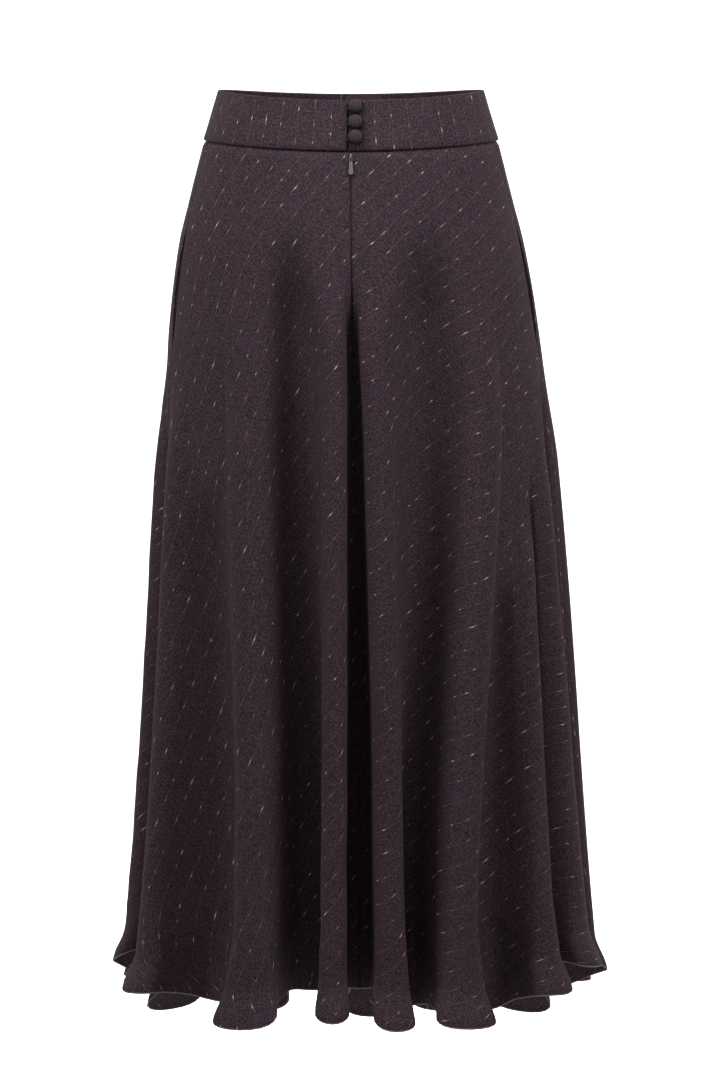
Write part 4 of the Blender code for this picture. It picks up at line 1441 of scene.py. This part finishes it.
@dataclass
class ButtonRow:
    """Three dome buttons covered with the suiting, and the cord loops that hold them."""

    band: BandForm = field(default_factory=BandForm)
    x: float = 0.0040
    heights: tuple[float, ...] = (0.0043, -0.0102, -0.0243)
    radius: float = 0.0065
    height: float = 0.0062
    rim_height: float = 0.0026
    shank_radius: float = 0.0024
    cord_radius: float = 0.0008
    cord_pitch: float = 0.0034
    cord_sides: int = 12
    standoff: float = 0.0013
    half_loop: float = 0.0046
    loop_x: float = 0.0078

    def profile(self) -> list[tuple[float, float]]:
        """Radius and height from the shank's foot over the rolled rim to near the crown."""
        points = [
            (self.shank_radius * 0.96, SEAM_GAP),
            (self.shank_radius, SEAM_GAP + 0.0002),
            (self.shank_radius, self.rim_height - 0.0006),
            (self.radius * 0.80, self.rim_height - 0.0003),
            (self.radius * 0.93, self.rim_height),
        ]
        dome = self.height - self.rim_height - 0.0008
        for degrees in (88.0, 78.0, 66.0, 54.0, 42.0, 30.0, 18.0, 8.0):
            angle = math.radians(degrees)
            radius = self.radius * math.sin(angle)
            points.append((radius, self.height - dome * (1.0 - math.cos(angle))))
        return points

    def button(self, number: int, z: float, finishes: Finishes) -> bpy.types.Object:
        """One button: a disc that is extruded and scaled up its profile.

        Args:
            number: its number from the top.
            z: its height on the band.
            finishes: the materials.

        Returns:
            The dressed piece.
        """
        deselect_all()
        profile = self.profile()
        bpy.ops.mesh.primitive_circle_add(
            vertices=48, radius=profile[0][0], fill_type="NGON", location=(0.0, 0.0, profile[0][1])
        )
        piece = bpy.context.object
        piece.name = f"button_{number}_cover"
        bpy.ops.object.transform_apply(location=True, rotation=True, scale=True)
        bpy.ops.object.mode_set(mode="EDIT")
        bpy.ops.mesh.select_all(action="SELECT")
        radius, height = profile[0]
        for wider, higher in profile[1:]:
            move = {"value": (0.0, 0.0, higher - height)}
            bpy.ops.mesh.extrude_region_move(TRANSFORM_OT_translate=move)
            share = wider / radius
            bpy.ops.transform.resize(value=(share, share, 1.0), center_override=(0.0, 0.0, higher))
            radius, height = wider, higher
        bpy.ops.mesh.inset(thickness=radius * 0.5)
        bpy.ops.mesh.select_all(action="SELECT")
        bpy.ops.mesh.normals_make_consistent(inside=False)
        bpy.ops.object.mode_set(mode="OBJECT")
        soften = piece.modifiers.new("Softened", "SUBSURF")
        soften.levels = soften.render_levels = 1
        settle(piece)
        self.pucker(piece, number)
        bpy.ops.object.shade_smooth_by_angle(angle=math.radians(60.0))
        settle(piece, self.band.front_frame(self.x, z))
        name = f"button_{number}"
        return finish_piece(piece, finishes.button_cover, replaces=(name,))

    def pucker(self, piece: bpy.types.Object, number: int) -> None:
        """Gathers the cover a little under its rim, and leaves its dome not quite round.

        Args:
            piece: the button, still at the origin.
            number: its number, which turns its unevenness.
        """
        for vertex in piece.data.vertices:
            x, y, z = vertex.co
            away = math.hypot(x, y)
            angle = math.atan2(y, x) + number
            under = smooth((self.rim_height + 0.0012 - z) / 0.0012) * smooth(away / self.radius)
            gather = 1.0 + 0.018 * float(under) * math.sin(angle * 13.0)
            dent = 1.0 + 0.010 * math.sin(angle * 3.0 + number) * float(smooth(away / self.radius))
            vertex.co = (x * gather * dent, y * gather * dent, z)

    def loop_path(self) -> list[Vector]:
        """Points of a loop, from the band's end round the button and back."""
        end_x = self.band.ends_x - self.band.ends_gap / 2.0 + SEAM_GAP
        half = self.half_loop
        path = [(end_x, half * 0.45, 0.0002), (end_x + 0.0011, half * 0.6, self.standoff)]
        for step in range(17):
            angle = math.pi / 2.0 - math.pi * step / 16
            x, y = self.loop_x + half * math.cos(angle), half * math.sin(angle)
            path.append((x, y, self.standoff))
        path += [(x, -y, z) for x, y, z in reversed(path[:2])]
        return [Vector(point) for point in path]

    def loop(self, number: int, z: float, finishes: Finishes) -> bpy.types.Object:
        """One loop of twisted cord.

        Args:
            number: its number from the top.
            z: its height on the band.
            finishes: the materials.

        Returns:
            The dressed piece.
        """
        name = f"button_loop_{number}"
        path = evenly(self.loop_path(), self.cord_radius * 0.45)
        vertices = twisted_rings(path, self.cord_radius, self.cord_pitch, self.cord_sides)
        piece = mesh_piece(f"{name}_cord", vertices, tube_faces(len(path), self.cord_sides))
        activate(piece)
        bpy.ops.object.shade_smooth()
        settle(piece, self.band.front_frame(0.0, z))
        return finish_piece(piece, finishes.loop_cord, replaces=(name,))

    def made(self, finishes: Finishes) -> None:
        """All buttons and loops."""
        for number, z in enumerate(self.heights, start=1):
            self.button(number, z, finishes)
            self.loop(number, z, finishes)


def evenly(path: list[Vector], step: float) -> list[Vector]:
    """Points at even steps along a path.

    Args:
        path: the points of the path.
        step: metres between the new points.

    Returns:
        The new points, with both ends of the path.
    """
    points = np.array([tuple(point) for point in path])
    walked = along_rows(points[None])[0]
    places = np.linspace(0.0, walked[-1], max(2, round(walked[-1] / step) + 1))
    columns = [np.interp(places, walked, points[:, axis]) for axis in range(3)]
    return [Vector(point) for point in zip(*columns)]


def tube_faces(rings: int, sides: int) -> list[tuple[int, ...]]:
    """Faces of a tube of rings of vertices, closed at both ends.

    Args:
        rings: how many rings it has.
        sides: vertices round each.

    Returns:
        The vertex numbers of each face.
    """
    faces: list[tuple[int, ...]] = []
    for ring in range(rings - 1):
        for corner in range(sides):
            here, beside = ring * sides + corner, ring * sides + (corner + 1) % sides
            faces.append((here, beside, beside + sides, here + sides))
    faces.append(tuple(reversed(range(sides))))
    last = (rings - 1) * sides
    faces.append(tuple(range(last, last + sides)))
    return faces


def twisted_rings(path: list[Vector], radius: float, pitch: float, sides: int) -> list[Vector]:
    """Rings of vertices of a cord of two plies twisted together.

    Args:
        path: the points that it follows.
        radius: its outer radius.
        pitch: metres along it for one turn of a ply.
        sides: vertices round it.

    Returns:
        The vertices, ring by ring.
    """
    vertices: list[Vector] = []
    walked = 0.0
    for index, point in enumerate(path):
        ahead = path[min(index + 1, len(path) - 1)] - path[max(index - 1, 0)]
        ahead.normalize()
        side = ahead.cross(Vector((0.0, 0.0, 1.0))).normalized()
        up = side.cross(ahead)
        if index:
            walked += (point - path[index - 1]).length
        for corner in range(sides):
            angle = math.tau * corner / sides
            ply = abs(math.cos(angle - math.pi * 2.0 * walked / pitch))
            reach = radius * (0.80 + 0.20 * ply)
            vertices.append(point + (side * math.cos(angle) + up * math.sin(angle)) * reach)
    return vertices


@dataclass
class Zip:
    """The concealed zip: its slider and pull tab, and its tapes behind the seam."""

    hinge_down: float = 0.0069
    standoff: float = 0.0014
    slider_size: tuple[float, float, float] = (0.0070, 0.0090, 0.0026)
    bridge_radius: float = 0.0024
    bridge_wire: float = 0.00055
    bridge_sides: int = 14
    slider_rounding: float = 0.0007
    tab_thickness: float = 0.0010
    tab_rounding: float = 0.00022
    tab_top: float = 0.0006
    tab_length: float = 0.0170
    neck_half_width: float = 0.0013
    foot_half_width: float = 0.0022
    hole_half_width: float = 0.0008
    hole_top: float = -0.0005
    hole_foot: float = -0.0042
    tape_top: float = 0.0165
    tape_foot: float = 0.185
    tape_flat: tuple[float, float] = (0.010, 0.170)
    tape_thickness: float = 0.0006
    tape_from_seam: float = 0.0009
    tape_inside: float = 0.0034

    def place(self, form: SkirtForm) -> Matrix:
        """The tab's axis: local X lies along it, Y up the skirt and Z out of it."""
        downs = (0.0, self.hinge_down, self.hinge_down + 0.012)
        above, hinge, below = (Vector(form.wall([0.0], [down])[0, 0]) for down in downs)
        upward = Vector((0.0, above.y - below.y, above.z - below.z)).normalized()
        outward = Vector((1.0, 0.0, 0.0)).cross(upward)
        origin = hinge + outward * (CLOTH_THICKNESS / 2.0 + self.standoff)
        return frame_on(Vector((0.0, origin.y, origin.z)), upward, outward)

    def tab(self, form: SkirtForm, finishes: Finishes) -> bpy.types.Object:
        """The pull tab: a teardrop plate with a window, rounded all over.

        Args:
            form: the skirt's surface.
            finishes: the materials.

        Returns:
            The dressed piece.
        """
        neck, foot = self.neck_half_width, self.foot_half_width
        outline = [(neck - 0.0005, self.tab_top), (neck, self.tab_top - 0.0005)]
        centre_y = -self.tab_length + foot
        outline += [(neck, self.hole_foot - 0.0005), (foot * 0.85, centre_y + 0.0035)]
        for step in range(17):
            angle = -math.pi * step / 16
            outline.append((foot * math.cos(angle), centre_y + foot * math.sin(angle)))
        outline += [(-x, y) for x, y in reversed(outline[:4])]
        hole, top, bottom = self.hole_half_width, self.hole_top, self.hole_foot
        window = [(-hole, top), (hole, top), (hole, bottom), (-hole, bottom)]
        curve = bpy.data.curves.new("zip_tab_plate", "CURVE")
        curve.dimensions = "2D"
        curve.fill_mode = "BOTH"
        curve.extrude = self.tab_thickness / 2.0 - self.tab_rounding
        curve.bevel_depth = self.tab_rounding
        curve.bevel_resolution = 2
        curve.offset = -self.tab_rounding
        for ring in (outline, window):
            spline = curve.splines.new("POLY")
            spline.points.add(len(ring) - 1)
            spline.use_cyclic_u = True
            for point, (x, y) in zip(spline.points, ring):
                point.co = (x, y, 0.0, 1.0)
        piece = bpy.data.objects.new("zip_tab_plate", curve)
        bpy.context.scene.collection.objects.link(piece)
        activate(piece)
        bpy.ops.object.convert(target="MESH")
        piece = bpy.context.object
        close_caps(piece, math.radians(35.0))
        settle(piece, self.place(form))
        return finish_piece(
            piece, finishes.zip_paint, Body.ZIP_PULL, ("zip_pull_tab",)
        )

    def slider(self, form: SkirtForm, finishes: Finishes) -> bpy.types.Object:
        """The slider's body in the seam, with its bridge standing out between the panels."""
        top = -self.standoff - CLOTH_THICKNESS - SEAM_GAP
        width, height, thickness = self.slider_size
        deselect_all()
        bpy.ops.mesh.primitive_cube_add(size=1.0, location=(0.0, 0.0, top - thickness / 2.0))
        body = bpy.context.object
        body.name = "zip_slider_body"
        body.scale = (width, height, thickness)
        bpy.ops.object.transform_apply(location=True, rotation=True, scale=True)
        bpy.ops.object.mode_set(mode="EDIT")
        bpy.ops.mesh.select_all(action="SELECT")
        bpy.ops.mesh.bevel(offset=self.slider_rounding, segments=3, profile=0.5, affect="EDGES")
        bpy.ops.object.mode_set(mode="OBJECT")
        reach, sides = self.bridge_radius, self.bridge_sides
        path = [Vector((0.0, reach, top - thickness / 2.0))]
        for step in range(21):
            angle = math.pi * step / 20
            path.append(Vector((0.0, reach * math.cos(angle), reach * math.sin(angle))))
        path.append(Vector((0.0, -reach, top - thickness / 2.0)))
        vertices = round_rings(path, self.bridge_wire, sides)
        bridge = mesh_piece("zip_bridge", vertices, tube_faces(len(path), sides))
        activate(body)
        join = body.modifiers.new("Bridge", "BOOLEAN")
        join.operation = "UNION"
        join.object = bridge
        bpy.ops.object.modifier_apply(modifier=join.name)
        bpy.data.objects.remove(bridge)
        bpy.ops.object.shade_smooth_by_angle(angle=math.radians(40.0))
        settle(body, self.place(form))
        nodes = ("zip_slider",)
        return finish_piece(body, finishes.zip_paint, replaces=nodes)

    def tapes(self, form: SkirtForm, finishes: Finishes) -> None:
        """The woven tapes, sewn flat against the inside of the front panels.

        Args:
            form: the skirt's surface.
            finishes: the materials.
        """
        width = self.tape_flat[0]
        downs = np.linspace(self.tape_top, self.tape_foot, 80)
        down = downs[:, None]
        for name, sign in (("zip_tape_left", 1.0), ("zip_tape_right", -1.0)):
            share = np.linspace(0.0, 1.0, 8)[None, :]
            seam = form.wall([0.0], downs)
            near = form.wall([0.02], downs) - form.wall([-0.02], downs)
            across = near / np.linalg.norm(near, axis=2, keepdims=True)
            below = np.gradient(seam, axis=0)
            inward = -np.cross(below, across)
            inward /= np.linalg.norm(inward, axis=2, keepdims=True)
            points = seam + across * (sign * (self.tape_from_seam + share * width))[..., None]
            points = points + inward * (CLOTH_THICKNESS / 2.0 + self.tape_inside)
            cut = np.stack(np.broadcast_arrays(share * width, down), axis=-1)
            if sign < 0.0:
                points, cut = points[:, ::-1], cut[:, ::-1]
            piece = Shell(name, points, cut, self.tape_thickness, lip=0.0001).made()
            finish_piece(piece, finishes.tape)

    def made(self, form: SkirtForm, finishes: Finishes) -> None:
        """All the zip's pieces."""
        self.slider(form, finishes)
        self.tab(form, finishes)
        self.tapes(form, finishes)


def round_rings(path: list[Vector], radius: float, sides: int) -> list[Vector]:
    """Rings of vertices of a round wire along a path in the YZ plane.

    Args:
        path: the points that it follows.
        radius: its radius.
        sides: vertices round it.

    Returns:
        The vertices, ring by ring.
    """
    vertices: list[Vector] = []
    side = Vector((1.0, 0.0, 0.0))
    for index, point in enumerate(path):
        ahead = (path[min(index + 1, len(path) - 1)] - path[max(index - 1, 0)]).normalized()
        up = side.cross(ahead)
        for corner in range(sides):
            angle = math.tau * corner / sides
            vertices.append(point + (side * math.cos(angle) + up * math.sin(angle)) * radius)
    return vertices


# --------------------------------------------------------------------------------------
# Studio
# --------------------------------------------------------------------------------------


@dataclass(frozen=True)
class Lamp:
    """One square soft light: its place, what it points at, its side in metres and its watts."""

    name: str
    place: tuple[float, float, float]
    aim: tuple[float, float, float]
    side: float
    power: float


MIDDLE = (0.0, 0.0, -0.35)
WAIST = (0.0, 0.0, -0.10)

LAMPS = (
    Lamp("key", (-2.45, -1.60, 1.15), MIDDLE, 1.1, 26.0),
    Lamp("fill", (2.55, -1.60, 1.10), MIDDLE, 1.1, 29.0),
    Lamp("overhead", (0.0, -0.48, 1.20), (0.0, -0.10, -0.15), 0.8, 14.5),
    Lamp("steep_left", (-0.9, -0.6, 1.3), WAIST, 0.6, 20.0),
    Lamp("steep_right", (0.9, -0.6, 1.3), WAIST, 0.6, 20.0),
    Lamp("back_left", (-2.2, 2.2, 1.20), MIDDLE, 1.2, 15.0),
    Lamp("back_right", (2.2, 2.2, 1.20), MIDDLE, 1.2, 15.0),
    Lamp("backdrop", (0.0, 3.2, 3.8), (0.0, 8.6, -0.6), 3.0, 1500.0),
    Lamp("back_wall", (0.0, 6.7, 3.8), (0.0, 12.5, -0.6), 3.0, 700.0),
    Lamp("front_wall", (0.0, -6.7, 3.8), (0.0, -12.5, -0.6), 3.0, 150.0),
    Lamp("left_wall", (-6.7, 0.0, 3.8), (-12.5, 0.0, -0.6), 3.0, 150.0),
    Lamp("right_wall", (6.7, 0.0, 3.8), (12.5, 0.0, -0.6), 3.0, 150.0),
)


@dataclass
class Studio:
    """A pale bowl of paper, soft lights and the camera at the photograph's viewing angle."""

    floor_z: float = -1.12
    floor_radius: float = 10.5
    curve_radius: float = 2.0
    wall_height: float = 7.0
    camera_x: float = 0.0084
    camera_distance: float = 6.0
    camera_z: float = -0.394
    metres_per_pixel: float = 0.000935
    picture_height: int = 1080
    air: float = 0.015

    def camera(self) -> None:
        """The camera, level and square to the front."""
        data = bpy.data.cameras.new("photo_camera")
        half = self.picture_height * self.metres_per_pixel / 2.0
        data.lens = data.sensor_width / 2.0 * self.camera_distance / half
        data.clip_end = 60.0
        camera = bpy.data.objects.new("photo_camera", data)
        camera.location = (self.camera_x, -self.camera_distance, self.camera_z)
        camera.rotation_euler = (math.pi / 2.0, 0.0, 0.0)
        bpy.context.scene.collection.objects.link(camera)
        bpy.context.scene.camera = camera

    def bowl(self, finishes: Finishes) -> None:
        """A round floor that curves up into a wall, beyond the camera's place in every view."""
        profile = [(0.0, 0.0)]
        for step in range(17):
            angle = math.pi / 2.0 * step / 16
            out = self.floor_radius + self.curve_radius * math.sin(angle)
            profile.append((out, self.curve_radius * (1.0 - math.cos(angle))))
        profile.append((self.floor_radius + self.curve_radius, self.wall_height))
        mesh = bpy.data.meshes.new("paper_bowl")
        vertices = [(out, 0.0, self.floor_z + up) for out, up in profile]
        mesh.from_pydata(vertices, [(place, place + 1) for place in range(len(profile) - 1)], [])
        paper = bpy.data.objects.new("paper_bowl", mesh)
        bpy.context.scene.collection.objects.link(paper)
        activate(paper)
        bpy.ops.object.mode_set(mode="EDIT")
        bpy.ops.mesh.select_all(action="SELECT")
        bpy.ops.mesh.spin(steps=96, angle=math.tau, center=(0.0, 0.0, 0.0), axis=(0.0, 0.0, 1.0))
        bpy.ops.mesh.select_all(action="SELECT")
        bpy.ops.mesh.remove_doubles(threshold=0.0005)
        bpy.ops.mesh.normals_make_consistent(inside=True)
        bpy.ops.object.mode_set(mode="OBJECT")
        bpy.ops.object.shade_smooth()
        paper.data.materials.append(finishes.paper)

    def light(self, lamp: Lamp) -> None:
        """Hangs one lamp, unseen by the camera."""
        data = bpy.data.lights.new(lamp.name, "AREA")
        data.shape = "SQUARE"
        data.size = lamp.side
        data.energy = lamp.power
        hung = bpy.data.objects.new(lamp.name, data)
        hung.location = lamp.place
        hung.visible_camera = False
        aim = Vector(lamp.aim) - Vector(lamp.place)
        hung.rotation_euler = aim.to_track_quat("-Z", "Y").to_euler()
        bpy.context.scene.collection.objects.link(hung)

    def made(self, finishes: Finishes) -> None:
        """Camera, bowl and lights."""
        self.camera()
        self.bowl(finishes)
        for lamp in LAMPS:
            self.light(lamp)
        world = bpy.data.worlds.new("studio_air")
        world.use_nodes = True
        air = world.node_tree.nodes["Background"]
        air.inputs["Color"].default_value = (1.0, 1.0, 1.0, 1.0)
        air.inputs["Strength"].default_value = self.air
        bpy.context.scene.world = world
        bpy.context.scene.view_settings.view_transform = "Standard"


FRONT_RIGHT_CREASES = (
    Crease(31.55, 31.40, 0.010, 0.110, 0.0070, 0.0006),
    Crease(31.20, 30.90, 0.015, 0.160, 0.0090, -0.0005),
    Crease(27.90, 27.70, 0.200, 0.520, 0.0160, -0.0009),
)
FRONT_LEFT_CREASES = (
    Crease(0.45, 0.60, 0.008, 0.120, 0.0070, 0.0006),
    Crease(0.85, 1.10, 0.015, 0.170, 0.0090, -0.0005),
    Crease(5.90, 6.10, 0.220, 0.560, 0.0150, -0.0009),
)


PANELS = (
    Panel(
        "skirt_front_left",
        Seam.CENTRE_FRONT,
        Seam.LEFT_SIDE,
        flat=(0.643, 0.819),
        area=0.303,
        grain=Grain(1.0, 48.5),
        relief=Relief(seed=11, creases=FRONT_LEFT_CREASES),
    ),
    Panel(
        "skirt_back",
        Seam.LEFT_SIDE,
        Seam.RIGHT_SIDE,
        flat=(1.480, 0.844),
        area=0.727,
        grain=Grain(17.0, 36.0),
        relief=Relief(seed=23),
    ),
    Panel(
        "skirt_front_right",
        Seam.RIGHT_SIDE,
        Seam.CENTRE_FRONT_AGAIN,
        flat=(0.584, 0.815),
        area=0.291,
        grain=Grain(31.0, 38.5),
        relief=Relief(seed=37, creases=FRONT_RIGHT_CREASES),
    ),
)


def main() -> None:
    """Builds the skirt's looks and the studio."""
    logging.basicConfig(level=logging.INFO, format="%(name)s: %(message)s")
    finishes = Finishes()
    form = SkirtForm()
    Studio().made(finishes)
    Waistband().made(finishes)
    for panel in PANELS:
        panel.made(form, finishes)
    PocketBag("pocket_bag_left", Seam.LEFT_SIDE, 1).made(form, finishes)
    PocketBag("pocket_bag_right", Seam.RIGHT_SIDE, -1).made(form, finishes)
    Label().made(form.band, finishes)
    ButtonRow().made(finishes)
    Zip().made(form, finishes)


if __name__ == "__main__":
    main()
